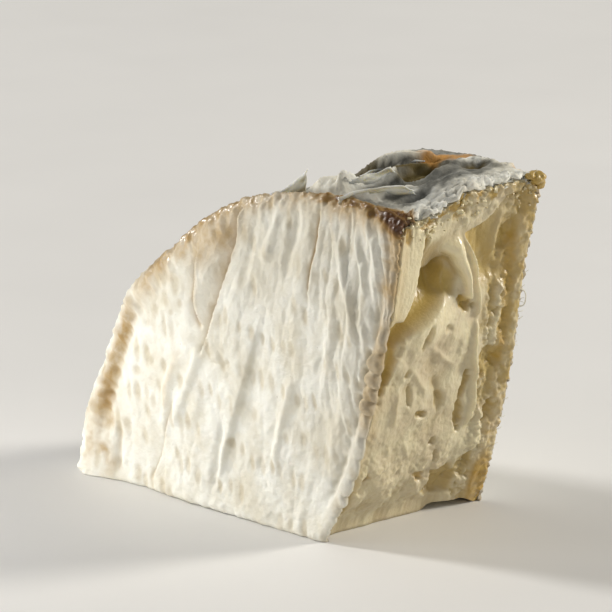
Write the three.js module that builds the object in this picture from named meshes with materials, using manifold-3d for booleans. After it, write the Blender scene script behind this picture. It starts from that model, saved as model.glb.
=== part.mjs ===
// A wedge of soft, bloomy-rind cheese, cut from a round wheel and stood on one of its two cuts.
// Millimetres, +Z up. The wheel's axis runs along Y: the wheel's two flat faces look along -Y and +Y,
// the standing cut is the flat underside, the end cut looks towards +X, and the rim is the curved back.
// The origin is the middle of the bounding box, at the height of the surface that the wedge stands on.
import * as THREE from "three";
import { mergeVertices } from "three/addons/utils/BufferGeometryUtils.js";
import Module from "manifold-3d";

// Driving dimensions of the whole wheel.
const WHEEL_RADIUS = 55;
const WHEEL_THICKNESS = 31;
const RIM_CROWN = 0.7; // how far the rim swells at mid-thickness
const FACE_DOME = 0.35; // how far the middle of a flat face stands above the end of its level part
const FACE_FLAT_SHARE = 0.76; // share of the radius over which a flat face stays about level
const FACE_DROP = 0.5; // how far a flat face falls away between there and its shoulder
const FRONT_SHOULDER = 4.4; // rounding between the face at -Y and the rim
const BACK_SHOULDER = 3.2; // rounding between the face at +Y and the rim

// The two cuts that take the wedge out of the wheel.
const WEDGE_ANGLE = THREE.MathUtils.degToRad(104);
const LEAN = WEDGE_ANGLE - Math.PI / 2; // how far the end cut leans past the vertical

// How the soft wedge has settled. The end cut swells between its foot and the rim, more at the front,
// and the foot spreads sideways over the surface.
const SWELL_FRONT = 3.0;
const SWELL_BACK = 1.2;
const FOOT_SPREAD = 0.06; // share of the thickness
const FOOT_HEIGHT = 7;

// The pocket that a gas bubble and the running paste left in the end cut.
const POCKET_AT_RADIUS = 0.72; // share of the wheel's radius
const POCKET_OFF_MIDDLE = -2.5; // along the wheel's axis
const POCKET_DEPTH = 3.4;
const POCKET_HALF_HEIGHT = 8.5;
const POCKET_HALF_WIDTH = 5.5;

// Fineness of the facets.
const WHEEL_SEGMENTS = 128;
const FACE_RINGS = 6;
const CURVE_POINTS = 7;
const POCKET_SEGMENTS = 26;
const CUT_STEP = 3.2; // spacing of the grid of facets over the two cuts

const wasm = await Module();
wasm.setup();

// A closed three.js geometry as a solid that can be cut.
function solidFrom(geometry) {
  const bare = geometry.clone();
  bare.deleteAttribute("normal");
  bare.deleteAttribute("uv");
  const merged = mergeVertices(bare, 1e-4);
  return new wasm.Manifold(
    new wasm.Mesh({
      numProp: 3,
      vertProperties: merged.attributes.position.array,
      triVerts: new Uint32Array(merged.index.array),
    }),
  );
}

// A cut solid as a three.js geometry again.
function geometryFrom(solid) {
  const mesh = solid.getMesh();
  const geometry = new THREE.BufferGeometry();
  geometry.setAttribute("position", new THREE.BufferAttribute(mesh.vertProperties, 3));
  geometry.setIndex(new THREE.BufferAttribute(mesh.triVerts, 1));
  return geometry;
}

// Half of the wheel's section, from the middle of one flat face to mid-rim, as radius and half-thickness.
function halfSection(shoulder) {
  const half = WHEEL_THICKNESS / 2;
  const flatEnd = WHEEL_RADIUS * FACE_FLAT_SHARE;
  const faceEnd = WHEEL_RADIUS - RIM_CROWN - shoulder;
  const rimStart = half - FACE_DROP - shoulder;
  const points = [];
  for (let ring = 0; ring < FACE_RINGS; ring++) {
    const share = ring / FACE_RINGS;
    points.push(new THREE.Vector2(flatEnd * share, half + FACE_DOME * (1 - share ** 2)));
  }
  const round = new THREE.Path();
  round.moveTo(flatEnd, half);
  round.quadraticCurveTo((flatEnd + faceEnd) / 2, half, faceEnd, half - FACE_DROP);
  round.quadraticCurveTo(faceEnd + shoulder, half - FACE_DROP, faceEnd + shoulder, rimStart);
  round.quadraticCurveTo(WHEEL_RADIUS, rimStart / 2, WHEEL_RADIUS, 0);
  return points.concat(round.getPoints(CURVE_POINTS));
}

function wheelSolid() {
  const back = halfSection(BACK_SHOULDER);
  const front = halfSection(FRONT_SHOULDER).map((p) => new THREE.Vector2(p.x, -p.y));
  const profile = [...front.slice(0, -1), ...back.reverse()];
  return solidFrom(new THREE.LatheGeometry(profile, WHEEL_SEGMENTS));
}

// How far the end cut bulges past a straight knife cut, at a share of the way from the wheel's axis to the rim.
function endSwell(height, y) {
  const toBack = THREE.MathUtils.clamp(0.5 + y / WHEEL_THICKNESS, 0, 1);
  const most = THREE.MathUtils.lerp(SWELL_FRONT, SWELL_BACK, toBack);
  return most * Math.sin(Math.PI * THREE.MathUtils.clamp(height, 0, 1));
}

// Everything between the two cuts, as a block with one slanting, swollen side. The standing cut lies on z = 0
// and the wheel's axis at x = 0.
function knifeSolid() {
  const reach = WHEEL_RADIUS * 1.2;
  const divisions = Math.round(reach / CUT_STEP);
  const width = WHEEL_THICKNESS * 1.2;
  const across = Math.round(width / CUT_STEP);
  const block = new THREE.BoxGeometry(reach, width, reach, 1, across, divisions);
  block.translate(-reach / 2, 0, reach / 2);
  const points = block.attributes.position;
  for (let i = 0; i < points.count; i++) {
    if (points.getX(i) > -reach / 2) {
      const along = points.getZ(i);
      const height = along / Math.cos(LEAN) / WHEEL_RADIUS;
      points.setX(i, along * Math.tan(LEAN) + endSwell(height, points.getY(i)) / Math.cos(LEAN));
    }
  }
  return solidFrom(block);
}

function pocketSolid() {
  const pocket = new THREE.SphereGeometry(1, POCKET_SEGMENTS, POCKET_SEGMENTS / 2);
  pocket.scale(POCKET_DEPTH, POCKET_HALF_WIDTH, POCKET_HALF_HEIGHT);
  pocket.translate(
    endSwell(POCKET_AT_RADIUS, POCKET_OFF_MIDDLE),
    POCKET_OFF_MIDDLE,
    WHEEL_RADIUS * POCKET_AT_RADIUS,
  );
  pocket.rotateY(LEAN);
  return solidFrom(pocket);
}

// Spreads the foot of the cut wedge over the surface that it stands on.
function settle(geometry) {
  const points = geometry.attributes.position;
  for (let i = 0; i < points.count; i++) {
    const spread = 1 + FOOT_SPREAD * Math.exp(-points.getZ(i) / FOOT_HEIGHT);
    points.setY(i, points.getY(i) * spread);
  }
  geometry.computeVertexNormals();
  geometry.computeBoundingBox();
}

function cheeseWedge() {
  const geometry = geometryFrom(wheelSolid().intersect(knifeSolid()).subtract(pocketSolid()));
  settle(geometry);
  const middle = geometry.boundingBox.getCenter(new THREE.Vector3());
  const wedge = new THREE.Mesh(
    geometry,
    new THREE.MeshStandardMaterial({ color: 0xe9e2cf, roughness: 0.75, metalness: 0 }),
  );
  wedge.name = "cheese_wedge";
  wedge.position.set(-middle.x, -middle.y, 0);
  return wedge;
}

const cheese = new THREE.Group();
cheese.add(cheeseWedge());

export default cheese;
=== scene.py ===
import itertools
import math

import bmesh
import bpy
import numpy as np
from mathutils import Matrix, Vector


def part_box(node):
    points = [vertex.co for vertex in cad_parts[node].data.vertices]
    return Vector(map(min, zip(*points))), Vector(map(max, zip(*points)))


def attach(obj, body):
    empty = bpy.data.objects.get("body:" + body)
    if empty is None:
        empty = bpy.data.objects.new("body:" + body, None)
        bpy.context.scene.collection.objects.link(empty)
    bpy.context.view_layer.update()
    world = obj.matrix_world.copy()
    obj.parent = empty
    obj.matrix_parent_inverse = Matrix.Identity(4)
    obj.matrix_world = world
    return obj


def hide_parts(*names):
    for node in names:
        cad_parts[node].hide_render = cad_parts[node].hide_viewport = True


bl_info = {
    "name": "Soft cheese wedge",
    "version": (1, 0, 0),
    "blender": (4, 5, 0),
    "location": "3D View > Sidebar > Cheese",
    "description": "Builds a cut wedge of soft white-rinded cheese, its torn rim skin and its crumbs",
    "category": "Add Mesh",
}

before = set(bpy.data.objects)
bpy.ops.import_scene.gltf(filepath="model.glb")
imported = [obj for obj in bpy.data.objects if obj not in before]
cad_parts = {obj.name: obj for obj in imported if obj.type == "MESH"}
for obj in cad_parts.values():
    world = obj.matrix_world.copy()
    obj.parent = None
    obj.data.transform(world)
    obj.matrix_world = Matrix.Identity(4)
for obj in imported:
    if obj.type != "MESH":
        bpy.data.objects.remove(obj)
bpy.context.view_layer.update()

# ---------------------------------------------------------------------------
# Sizes. Everything below is worked out in millimetres and turned to metres at
# the end. Face coordinates: u runs right and v runs up from the wheel's axis.
# ---------------------------------------------------------------------------
WEDGE = "cheese_wedge"
BODY = "root"
MM = 0.001
LOW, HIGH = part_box(WEDGE)
RADIUS = (HIGH.z - LOW.z) / MM
AXIS_X = LOW.x / MM + RADIUS
FOOT_SPREAD = 0.084
HALF_THICK = (HIGH.y - LOW.y) / MM / 2 / (1 + FOOT_SPREAD)
# Angles round the wheel, in degrees: the end cut, the sliced block's corner, and how far
# the front runs on from there to the cut that the wedge stands on.
CUT_ANGLE = 76.0
MIDDLE_ANGLE = 128.0
HALF_SPAN = 52.0
FRONT_SHOULDER = 4.4
BACK_SHOULDER = 3.4
RIM_CROWN = 0.5
SHOULDER_POWER = 0.9
SLICE_POWER = 1.2
INSIDE = "inside"
PASTE_SLICES = ((12, 5), (13, 10), (20, 11))
PASTE_INSIDE_KEPT = 0.66
RIND_SLICES = ((16, 12), (9, 8), (16, 12))
RIND_INSIDE_KEPT = 0.45
CRUMB_COUNT = 70
CRUMB_POINTS = 42
FIBRE_COUNT = 26
# The camera's place in degrees and metres, its lens and what it aims at in millimetres.
CAMERA_AZIMUTH = 47.24
CAMERA_ELEVATION = 13.39
CAMERA_DISTANCE = 0.600
CAMERA_LENS = 229.8
AIM_ALONG = -18.0
AIM_UP = 26.0
AIM_SHIFT_RIGHT = -2.64
AIM_SHIFT_UP = 4.33
LAMP_WHITE = (1.0, 0.985, 0.96)
LAMP_WARM = (1.0, 0.96, 0.88)
LAMP_COOL = (0.97, 0.98, 1.0)


# ---------------------------------------------------------------------------
# Small maths used by every piece
# ---------------------------------------------------------------------------
def smooth(low, high, value):
    """0 below low, 1 above high, and an even slope between."""
    share = np.clip((value - low) / (high - low), 0, 1)
    return share * share * (3 - 2 * share)


def mix(a, b, share):
    """The value that lies that share of the way from a to b."""
    return a + (b - a) * share


def chance(*cells, seed=0):
    """A number from 0 to 1 that is always the same for the same whole numbers."""
    mixed = np.full(np.shape(cells[0]), seed * 7919 + 12345, np.int64)
    for prime, cell in zip((73856093, 19349663, 83492791), cells):
        mixed = mixed ^ (np.asarray(cell, np.int64) * prime)
        mixed = (mixed ^ (mixed >> 13)) * 1274126177
        mixed = mixed & 0x7FFFFFFF
    mixed = (mixed ^ (mixed >> 15)) * 668265263 & 0x7FFFFFFF
    return (mixed % 100003) / 100003.0


def bumps(size, *axes, seed=0):
    """Smooth noise from about -1 to 1, with lumps of the given size."""
    axes = [np.asarray(a, float) / size + 31.7 * (seed + 1) for a in axes]
    cells = [np.floor(a).astype(np.int64) for a in axes]
    parts = [a - c for a, c in zip(axes, cells)]
    eased = [p * p * p * (p * (p * 6 - 15) + 10) for p in parts]
    total = np.zeros(np.shape(axes[0]))
    for corner in itertools.product((0, 1), repeat=len(axes)):
        weight = 1.0
        slope = 0.0
        spots = [c + k for c, k in zip(cells, corner)]
        for n, k in enumerate(corner):
            weight = weight * (eased[n] if k else 1 - eased[n])
            lean = chance(*spots, seed=seed * 5 + n + 1) * 2 - 1
            slope = slope + lean * (parts[n] - k)
        total = total + weight * slope
    return total * 2.0


def rough(size, *axes, seed=0, layers=3):
    """Noise with finer and finer layers added."""
    total = 0.0
    for n in range(layers):
        total = total + bumps(size / 2**n, *axes, seed=seed + 11 * n) / 2**n
    return total


def curve_through(points, steps=5):
    """A soft line through the points, as an array of closer points."""
    points = np.array(points, float)
    if len(points) < 3:
        return points
    ends = np.vstack([2 * points[0] - points[1], points, 2 * points[-1] - points[-2]])
    line = []
    for n in range(1, len(ends) - 2):
        a, b, c, d = ends[n - 1 : n + 3]
        for k in range(steps):
            t = k / steps
            line.append(
                0.5
                * (
                    2 * b
                    + (c - a) * t
                    + (2 * a - 5 * b + 4 * c - d) * t * t
                    + (3 * b - a - 3 * c + d) * t**3
                )
            )
    line.append(ends[-2])
    return np.array(line)


def near_line(u, v, points):
    """Distance to a soft line, its side (+1 left of its run, -1 right) and the share along it."""
    line = curve_through(points)
    best = np.full(np.shape(u), 1e9)
    side = np.ones(np.shape(u))
    share = np.zeros(np.shape(u))
    last = len(line) - 1
    for n in range(last):
        ax, ay = line[n]
        dx, dy = line[n + 1] - line[n]
        long2 = dx * dx + dy * dy + 1e-12
        t = np.clip(((u - ax) * dx + (v - ay) * dy) / long2, 0, 1)
        away = np.hypot(u - ax - t * dx, v - ay - t * dy)
        turn = dx * (v - ay) - dy * (u - ax)
        closer = away < best
        best = np.where(closer, away, best)
        side = np.where(closer, np.where(turn > 0, 1.0, -1.0), side)
        share = np.where(closer, (n + t) / last, share)
    return best, side, share


def tapered(share, fade):
    """Fades a stroke out over that share of its length at each end."""
    return smooth(0, fade, share) * smooth(0, fade, 1 - share)


def ridge(u, v, points, width, height, fade=0.25):
    """A rounded ridge (or a groove, with a height below 0) along a line."""
    away, _, share = near_line(u, v, points)
    return height * np.exp(-((away / width) ** 2)) * tapered(share, fade)


def sheet_edge(u, v, points, rise, rise_reach, drop, drop_reach, fade=0.2, soft=0.3):
    """The edge of an overlapping fold: raised on one side and sunk on the other."""
    away, side, share = near_line(u, v, points)
    high = rise * np.exp(-away / rise_reach)
    low = -drop * np.exp(-away / drop_reach)
    return mix(low, high, smooth(-soft, soft, side * away)) * tapered(share, fade)


def patch(u, v, middle, radii, turn=0.0, edge=0.4, wobble=0.0, seed=0):
    """1 inside an oval and 0 outside it, with a soft edge."""
    a = math.radians(turn)
    du, dv = u - middle[0], v - middle[1]
    s = (du * math.cos(a) + dv * math.sin(a)) / radii[0]
    t = (-du * math.sin(a) + dv * math.cos(a)) / radii[1]
    away = np.hypot(s, t)
    if wobble:
        away = away + wobble * bumps(min(radii) * 1.1, u, v, seed=seed)
    return 1 - smooth(1 - edge, 1 + edge, away)


# ---------------------------------------------------------------------------
# The wheel's section and the wedge's overall form
# ---------------------------------------------------------------------------
def half_section(inset):
    """The wheel's profile from its axis along the front, over the rim and along the back."""
    half = HALF_THICK - inset
    reach = RADIUS - inset
    points = []
    for r in np.linspace(0, reach - FRONT_SHOULDER, 120, endpoint=False):
        points.append((r, -half))
    for a in np.linspace(0, math.pi / 2, 40, endpoint=False):
        points.append(
            (
                reach - FRONT_SHOULDER + FRONT_SHOULDER * math.sin(a) ** SHOULDER_POWER,
                -half + FRONT_SHOULDER - FRONT_SHOULDER * math.cos(a) ** SHOULDER_POWER,
            )
        )
    top = half - BACK_SHOULDER
    for y in np.linspace(-half + FRONT_SHOULDER, top, 60, endpoint=False):
        points.append((reach, y))
    for a in np.linspace(0, math.pi / 2, 40, endpoint=False):
        points.append(
            (
                reach - BACK_SHOULDER + BACK_SHOULDER * math.cos(a) ** SHOULDER_POWER,
                top + BACK_SHOULDER * math.sin(a) ** SHOULDER_POWER,
            )
        )
    for r in np.linspace(reach - BACK_SHOULDER, 0, 120):
        points.append((r, half))
    points = np.array(points)
    r, y = points[:, 0], points[:, 1]
    crown = RIM_CROWN * (1 - (y / half) ** 2)
    r = r + crown * smooth(reach - 8, reach, r)
    y = y * (1 + 0.02 * (1 - (np.minimum(r, reach) / reach) ** 2))
    length = np.concatenate([[0], np.cumsum(np.hypot(np.diff(r), np.diff(y)))])
    dr, dy = np.gradient(r), np.gradient(y)
    size = np.hypot(dr, dy) + 1e-9
    return {"r": r, "y": y, "out_r": dy / size, "out_y": -dr / size, "s": length}


def section_marks(profile):
    """How far along the profile the middles of the two shoulders lie."""
    s = profile["s"]
    lean = np.arctan2(profile["out_r"], -profile["out_y"])
    front = float(np.interp(math.pi / 4, lean, s))
    back = float(np.interp(3 * math.pi / 4, lean, s))
    return front, back, float(s[-1])


def on_section(profile, s):
    """Radius, y and outward direction at that distance along the profile."""
    found = [np.interp(s, profile["s"], profile[k]) for k in ("r", "y", "out_r", "out_y")]
    size = np.hypot(found[2], found[3]) + 1e-9
    return found[0], found[1], found[2] / size, found[3] / size


def cut_swell(r, y):
    """How far the end cut bulges past a flat cut: most towards the front, least at the back."""
    across = np.clip((y / HALF_THICK + 1) / 2, 0, 1)
    share = np.clip(r / RADIUS, 0, 1)
    front = 3.5 * np.sin(math.pi * share**0.95)
    back = 1.3 * np.sin(math.pi * np.clip(share / 0.72, 0, 1))
    return mix(front, back, across)


def outline_bulge(angle):
    """How far the front's outer edge stands off a true circle, by angle round the wheel."""
    angles = (70, 90, 105, 120, 134, 141, 147, 154, 162, 168, 174, 180)
    offsets = (-1.2, -1.4, -1.2, -1.0, -0.9, 0.2, 1.6, 1.5, 1.8, 2.8, 3.2, 2.2)
    return np.interp(angle, angles, offsets)


def settle(y, z):
    """The foot of a soft wedge spreads a little where it stands."""
    return y * (1 + FOOT_SPREAD * 0.75 * np.exp(-np.maximum(z, 0) / 7))


def wedge_form(cells, inset):
    """Where each point of a sliced block lies on the wedge."""
    p = ((1 - cells[:, 0]) / 2) ** SLICE_POWER
    q = ((1 + cells[:, 2]) / 2) ** SLICE_POWER
    b = cells[:, 1]
    share = np.maximum(p, q)
    profile = half_section(inset)
    front_end, back_start, whole = section_marks(profile)
    on_front = b < -0.9999
    on_back = b > 0.9999
    s = front_end + (b + 1) / 2 * (back_start - front_end)
    s = np.where(on_front, share * front_end, s)
    s = np.where(on_back, whole - share * (whole - back_start), s)
    r, y, out_r, out_y = on_section(profile, s)
    # points of the two cut faces, which lie between the front, the back and the rim
    inner = (~on_front) & (~on_back) & (share < 0.9999)
    bb = (b + 1) / 2
    left = on_section(profile, share * front_end)
    right = on_section(profile, whole - share * (whole - back_start))
    top = on_section(profile, front_end + bb * (back_start - front_end))
    corner_l = on_section(profile, np.full_like(b, front_end))
    corner_r = on_section(profile, np.full_like(b, back_start))
    lift = share**7
    flat_r = mix(left[0], right[0], bb)
    flat_r = flat_r + lift * (top[0] - mix(corner_l[0], corner_r[0], bb))
    flat_y = mix(left[1], right[1], bb)
    flat_y = flat_y + lift * (top[1] - mix(corner_l[1], corner_r[1], bb))
    r = np.where(inner, flat_r, r)
    y = np.where(inner, flat_y, y)
    out_r = np.where(inner, 0, out_r)
    out_y = np.where(inner, 0, out_y)
    end = CUT_ANGLE - np.degrees(cut_swell(r, y) / np.maximum(r, 4.0))
    lower = p >= q
    safe_p = np.maximum(p, 1e-9)
    safe_q = np.maximum(q, 1e-9)
    angle = np.where(
        lower,
        180 - HALF_SPAN * q / safe_p,
        end + (MIDDLE_ANGLE - end) * p / safe_q,
    )
    angle = np.where((p < 1e-9) & (q < 1e-9), MIDDLE_ANGLE, angle)
    frontness = smooth(6.0, -12.0, y)
    r = r + outline_bulge(angle) * frontness * smooth(0.55 * RADIUS, RADIUS, r)
    return {
        "r": r,
        "y": y,
        "angle": angle,
        "out_r": out_r,
        "out_y": out_y,
        "p": p,
        "q": q,
        "inner": inner,
    }


def to_space(form, lift, over_cut):
    """Metres for each point, after it has moved out along the skin and out over the end cut."""
    a = np.radians(form["angle"])
    r = form["r"] + form["out_r"] * lift
    y = form["y"] + form["out_y"] * lift
    x = r * np.cos(a)
    z = r * np.sin(a)
    tilt = math.radians(CUT_ANGLE)
    x = x + math.sin(tilt) * over_cut
    z = z - math.cos(tilt) * over_cut
    return x, settle(y, z), z


# ---------------------------------------------------------------------------
# Mesh helpers
# ---------------------------------------------------------------------------
def deselect_all():
    if bpy.context.mode != "OBJECT":
        bpy.ops.object.mode_set(mode="OBJECT")
    bpy.ops.object.select_all(action="DESELECT")


def activate(piece):
    deselect_all()
    piece.select_set(True)
    bpy.context.view_layer.objects.active = piece


def select_edges_along(mesh, axis):
    others = [n for n in range(3) if n != axis]
    for edge in mesh.edges:
        step = edge.verts[0].co - edge.verts[1].co
        edge.select_set(abs(step[others[0]]) < 1e-6 and abs(step[others[1]]) < 1e-6)


def sliced_block(name, steps):
    """A block two units wide, sliced evenly: each axis by the product of its two numbers."""
    deselect_all()
    bpy.ops.mesh.primitive_cube_add(size=2)
    block = bpy.context.active_object
    block.name = name
    block.data.name = name
    bpy.ops.object.mode_set(mode="EDIT")
    bpy.ops.mesh.select_mode(type="EDGE")
    for axis, factors in enumerate(steps):
        for factor in factors:
            if factor < 2:
                continue
            bpy.ops.mesh.select_all(action="DESELECT")
            mesh = bmesh.from_edit_mesh(block.data)
            select_edges_along(mesh, axis)
            bmesh.update_edit_mesh(block.data)
            bpy.ops.mesh.subdivide(number_cuts=factor - 1)
    bpy.ops.object.mode_set(mode="OBJECT")
    return block


def remove_faces(block, test):
    activate(block)
    bpy.ops.object.mode_set(mode="EDIT")
    bpy.ops.mesh.select_mode(type="FACE")
    bpy.ops.mesh.select_all(action="DESELECT")
    mesh = bmesh.from_edit_mesh(block.data)
    for face in mesh.faces:
        face.select_set(test(face))
    bmesh.update_edit_mesh(block.data)
    bpy.ops.mesh.delete(type="FACE")
    bpy.ops.object.mode_set(mode="OBJECT")


def points_of(block):
    """The places of a mesh's points, one row for each."""
    flat = np.zeros(len(block.data.vertices) * 3)
    block.data.vertices.foreach_get("co", flat)
    return flat.reshape(-1, 3)


def move_points(block, x, y, z):
    flat = np.stack([x, y, z], axis=1).astype(np.float32).ravel()
    block.data.vertices.foreach_set("co", flat)
    block.data.update()


def paint(block, name, values):
    """Stores a mask from 0 to 1 on the mesh, which a finish reads by its name."""
    layer = block.data.attributes.new(name, "FLOAT", "POINT")
    clipped = np.clip(values, 0, 1).astype(np.float32)
    layer.data.foreach_set("value", clipped)


def apply_modifier(block, kind, **settings):
    activate(block)
    modifier = block.modifiers.new(kind.title(), kind)
    for key, value in settings.items():
        setattr(modifier, key, value)
    bpy.ops.object.modifier_apply(modifier=modifier.name)


def finish_piece(piece, material):
    """Gives a piece its finish and says what it rides on and stands for."""
    piece.data.materials.clear()
    piece.data.materials.append(material)
    activate(piece)
    bpy.ops.object.shade_smooth()
    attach(piece, BODY)
    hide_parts(WEDGE)


# ---------------------------------------------------------------------------
# The front face: folds, marks, stains and painted shade
# ---------------------------------------------------------------------------
def fold_coordinate(u, v):
    """The same number all along one fold: the folds fan out from the top of the face."""
    return u / (1 + 0.02 * (52 - v))


def front_sag(v):
    """How far the top of the front face leans back, as a height."""
    return -1.5 * smooth(28, 54, v)


# The placed folds of the front face. A ridge has its width and its height. The edge of a
# sheet has its rise, drop and how far each reaches, then its fade and softness.
FRONT_FOLDS = (
    # the big overlapping sheet and the valley on its left
    (sheet_edge, [(-19.6, 49.5), (-20.6, 42), (-22.6, 35.5), (-25.2, 28), (-27.2, 23.5)],
     0.75, 5.0, 1.9, 2.0, 0.12),
    (ridge, [(-25.5, 30), (-28, 23), (-31.5, 16), (-33.8, 10)], 1.1, 0.60),
    (sheet_edge, [(-33.2, 17), (-35.2, 10.5), (-36.6, 6), (-39.3, 1)], 0.55, 3.0, 0.85, 1.4),
    (sheet_edge, [(-28.6, 41), (-29.2, 36), (-28.8, 31), (-27.2, 27.5)], 0.45, 2.0, 1.05, 1.4),
    (ridge, [(-31.5, 24), (-34.5, 19), (-36, 13), (-36.5, 9)], 1.0, 0.50),
    # the long soft line where the bright left half turns to the right half
    (sheet_edge, [(-13.8, 32), (-16.2, 25.5), (-18, 19.5), (-20.6, 12), (-23.4, 2)],
     -0.45, 4.0, -0.45, 3.5, 0.2, 0.5),
    (ridge, [(-21.8, 15), (-23, 9), (-24.4, 2)], 0.7, -0.50),
    (sheet_edge, [(-3.4, 53), (-3.5, 46), (-4.4, 39.5), (-4.6, 34.5)], 0.50, 3.0, 0.75, 1.0),
    (ridge, [(-11.5, 50), (-12.8, 44.5), (-14.6, 39.5)], 0.8, 0.50),
    (ridge, [(-15.8, 48.5), (-17.3, 41), (-18, 36)], 0.9, -0.40),
    (ridge, [(-7.6, 49.5), (-9, 43), (-9.6, 37)], 0.8, -0.36),
    (ridge, [(0.6, 48), (2.4, 41.5), (4.6, 35.5), (5.2, 29)], 0.8, 0.62),
    (ridge, [(3.4, 50), (5.6, 43.5), (6.8, 36.5), (6.9, 30)], 0.7, 0.65),
    (ridge, [(6.6, 50.5), (8.4, 44.5), (9.2, 38)], 0.7, 0.60),
    (ridge, [(-0.4, 37), (0.2, 31), (-0.6, 25), (-1.8, 19)], 0.8, 0.45),
    (ridge, [(3.4, 31), (3.2, 25), (2.2, 18), (0.4, 11)], 0.9, 0.48),
    (ridge, [(-6.6, 26), (-8.4, 20.5), (-10.2, 14), (-11, 8)], 0.8, 0.42),
    (ridge, [(-2.6, 12), (-4.2, 6.5), (-5.2, 1.5)], 0.8, 0.26),
    # the groove beside the left rim strip
    (ridge, [(-41.5, 31), (-45.5, 24.5), (-48.6, 17.5), (-50.6, 11), (-50.8, 5)], 1.5, -0.75),
    (ridge, [(-46.6, 10), (-46.9, 5.5), (-46.2, 1)], 0.7, -0.45),
    # a fine torn line on the smooth middle
    (ridge, [(-25, 23.6), (-22.4, 23.2), (-20.2, 24.2)], 0.35, -0.28),
)


def front_folds(u, v):
    """Height of the folded rind on the front face."""
    inside = smooth(RADIUS - 1.5, RADIUS - 7, np.hypot(u, v))
    across = fold_coordinate(u, v)
    fan = smooth(-8, 4, u) * smooth(8, 26, v)
    height = 1.3 * np.exp(-(((u + 27) / 16) ** 2)) + front_sag(v)
    height = height + 0.30 * bumps(4.6, across, v * 0.20, seed=3)
    height = height + (0.12 + 0.14 * fan) * bumps(1.9, across, v * 0.20, seed=5)
    sharp = np.abs(bumps(1.5, across + 0.1 * bumps(2, u, v, seed=7), v * 0.16, seed=8))
    height = height + inside * (0.08 + 0.26 * fan) * smooth(0.28, 0.0, sharp) * -0.8
    height = height + 0.13 * rough(3.0, u, v, seed=9)
    height = height + 0.06 * rough(0.9, u, v, seed=14, layers=2)
    for kind, points, *sizes in FRONT_FOLDS:
        height = height + kind(u, v, points, *sizes)
    return height


# Middles and radii of the larger marks on the left part of the front.
PLACED_MARKS = (
    ((-38.0, 33.6), (0.9, 1.3)),
    ((-36.0, 31.2), (0.7, 1.2)),
    ((-32.6, 31.0), (0.5, 0.6)),
    ((-34.6, 29.2), (0.5, 0.5)),
    ((-38.6, 29.0), (0.8, 0.9)),
    ((-40.4, 26.6), (0.9, 0.7)),
    ((-39.4, 20.8), (0.6, 0.8)),
    ((-37.4, 17.2), (0.6, 1.0)),
    ((-43.2, 18.4), (0.9, 0.7)),
    ((-42.6, 14.4), (0.6, 1.1)),
    ((-40.2, 12.6), (0.6, 1.2)),
    ((-45.2, 9.4), (0.8, 1.1)),
    ((-27.4, 12.0), (0.5, 1.0)),
    ((-32.2, 7.4), (0.5, 1.1)),
)


def mat_marks(u, v):
    """The rows of small oval dents that the drying mat left."""
    row_gap = 6.6
    pitch = 2.15
    lean = v + 0.20 * u
    row = np.floor(lean / row_gap + 0.5)
    along = u + 0.22 * v + 0.8 * row
    mark = np.floor(along / pitch + 0.5)
    found = np.zeros(np.shape(u))
    for step in (-1, 0, 1):
        m = mark + step
        keep = chance(m, row, seed=2) < 0.62
        du = along - (m + 0.5 * (chance(m, row, seed=3) - 0.5)) * pitch
        dv = lean - (row + 0.22 * (chance(m, row, seed=4) - 0.5)) * row_gap
        left = smooth(-24, -32, u)
        long = (0.85 + 0.8 * chance(m, row, seed=5)) * (1 + 0.25 * left)
        wide = (0.46 + 0.30 * chance(m, row, seed=6)) * (1 + 0.25 * left)
        away = np.hypot(du / wide, (dv - 0.5 * du) / long)
        one = (1 - smooth(0.45, 1.35, away)) * np.where(keep, 1.0, 0.0)
        found = np.maximum(found, one * (0.5 + 0.5 * chance(m, row, seed=7)))
    for middle, radii in PLACED_MARKS:
        found = np.maximum(found, 0.8 * patch(u, v, middle, radii, 20, edge=0.6))
    return found


# Painted shade along the folds of the front, in tan in the first table and darker in the second: points,
# reach across and strength.
TAN_FOLD_SHADE = (
    ([(-43.6, 31.5), (-46.6, 25), (-49.4, 18.5), (-51.6, 12), (-52.6, 6)], 1.6, 0.95),
    ([(-31.6, 25), (-34.6, 19), (-36.4, 13)], 0.8, 0.30),
    ([(-33.2, 17), (-35.4, 10.5), (-36.8, 6), (-39.4, 1)], 0.5, 0.35),
    ([(-3.7, 50), (-3.9, 44), (-4.7, 38)], 0.45, 0.45),
    ([(-46.7, 9.5), (-47, 5), (-46.3, 1)], 0.5, 0.35),
)
DARK_CREASE_SHADE = (
    ([(-19.9, 48.5), (-20.9, 42), (-23.0, 35.5), (-25.7, 28), (-27.4, 24)], 0.45, 0.42),
    ([(-29.0, 40.5), (-29.6, 36), (-29.2, 31), (-27.6, 27)], 0.35, 0.30),
    ([(-3.8, 51), (-4.0, 45), (-4.8, 39.5), (-5.0, 35)], 0.35, 0.28),
    ([(-33.6, 16), (-35.5, 10.5), (-36.9, 6), (-39.4, 1.5)], 0.35, 0.22),
)


def line_shades(u, v, lines, fade):
    """The strongest of several soft lines of painted shade."""
    found = np.zeros(np.shape(u))
    for points, reach, amount in lines:
        away, _, share = near_line(u, v, points)
        found = np.maximum(found, amount * np.exp(-((away / reach) ** 2)) * tapered(share, fade))
    return found


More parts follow.
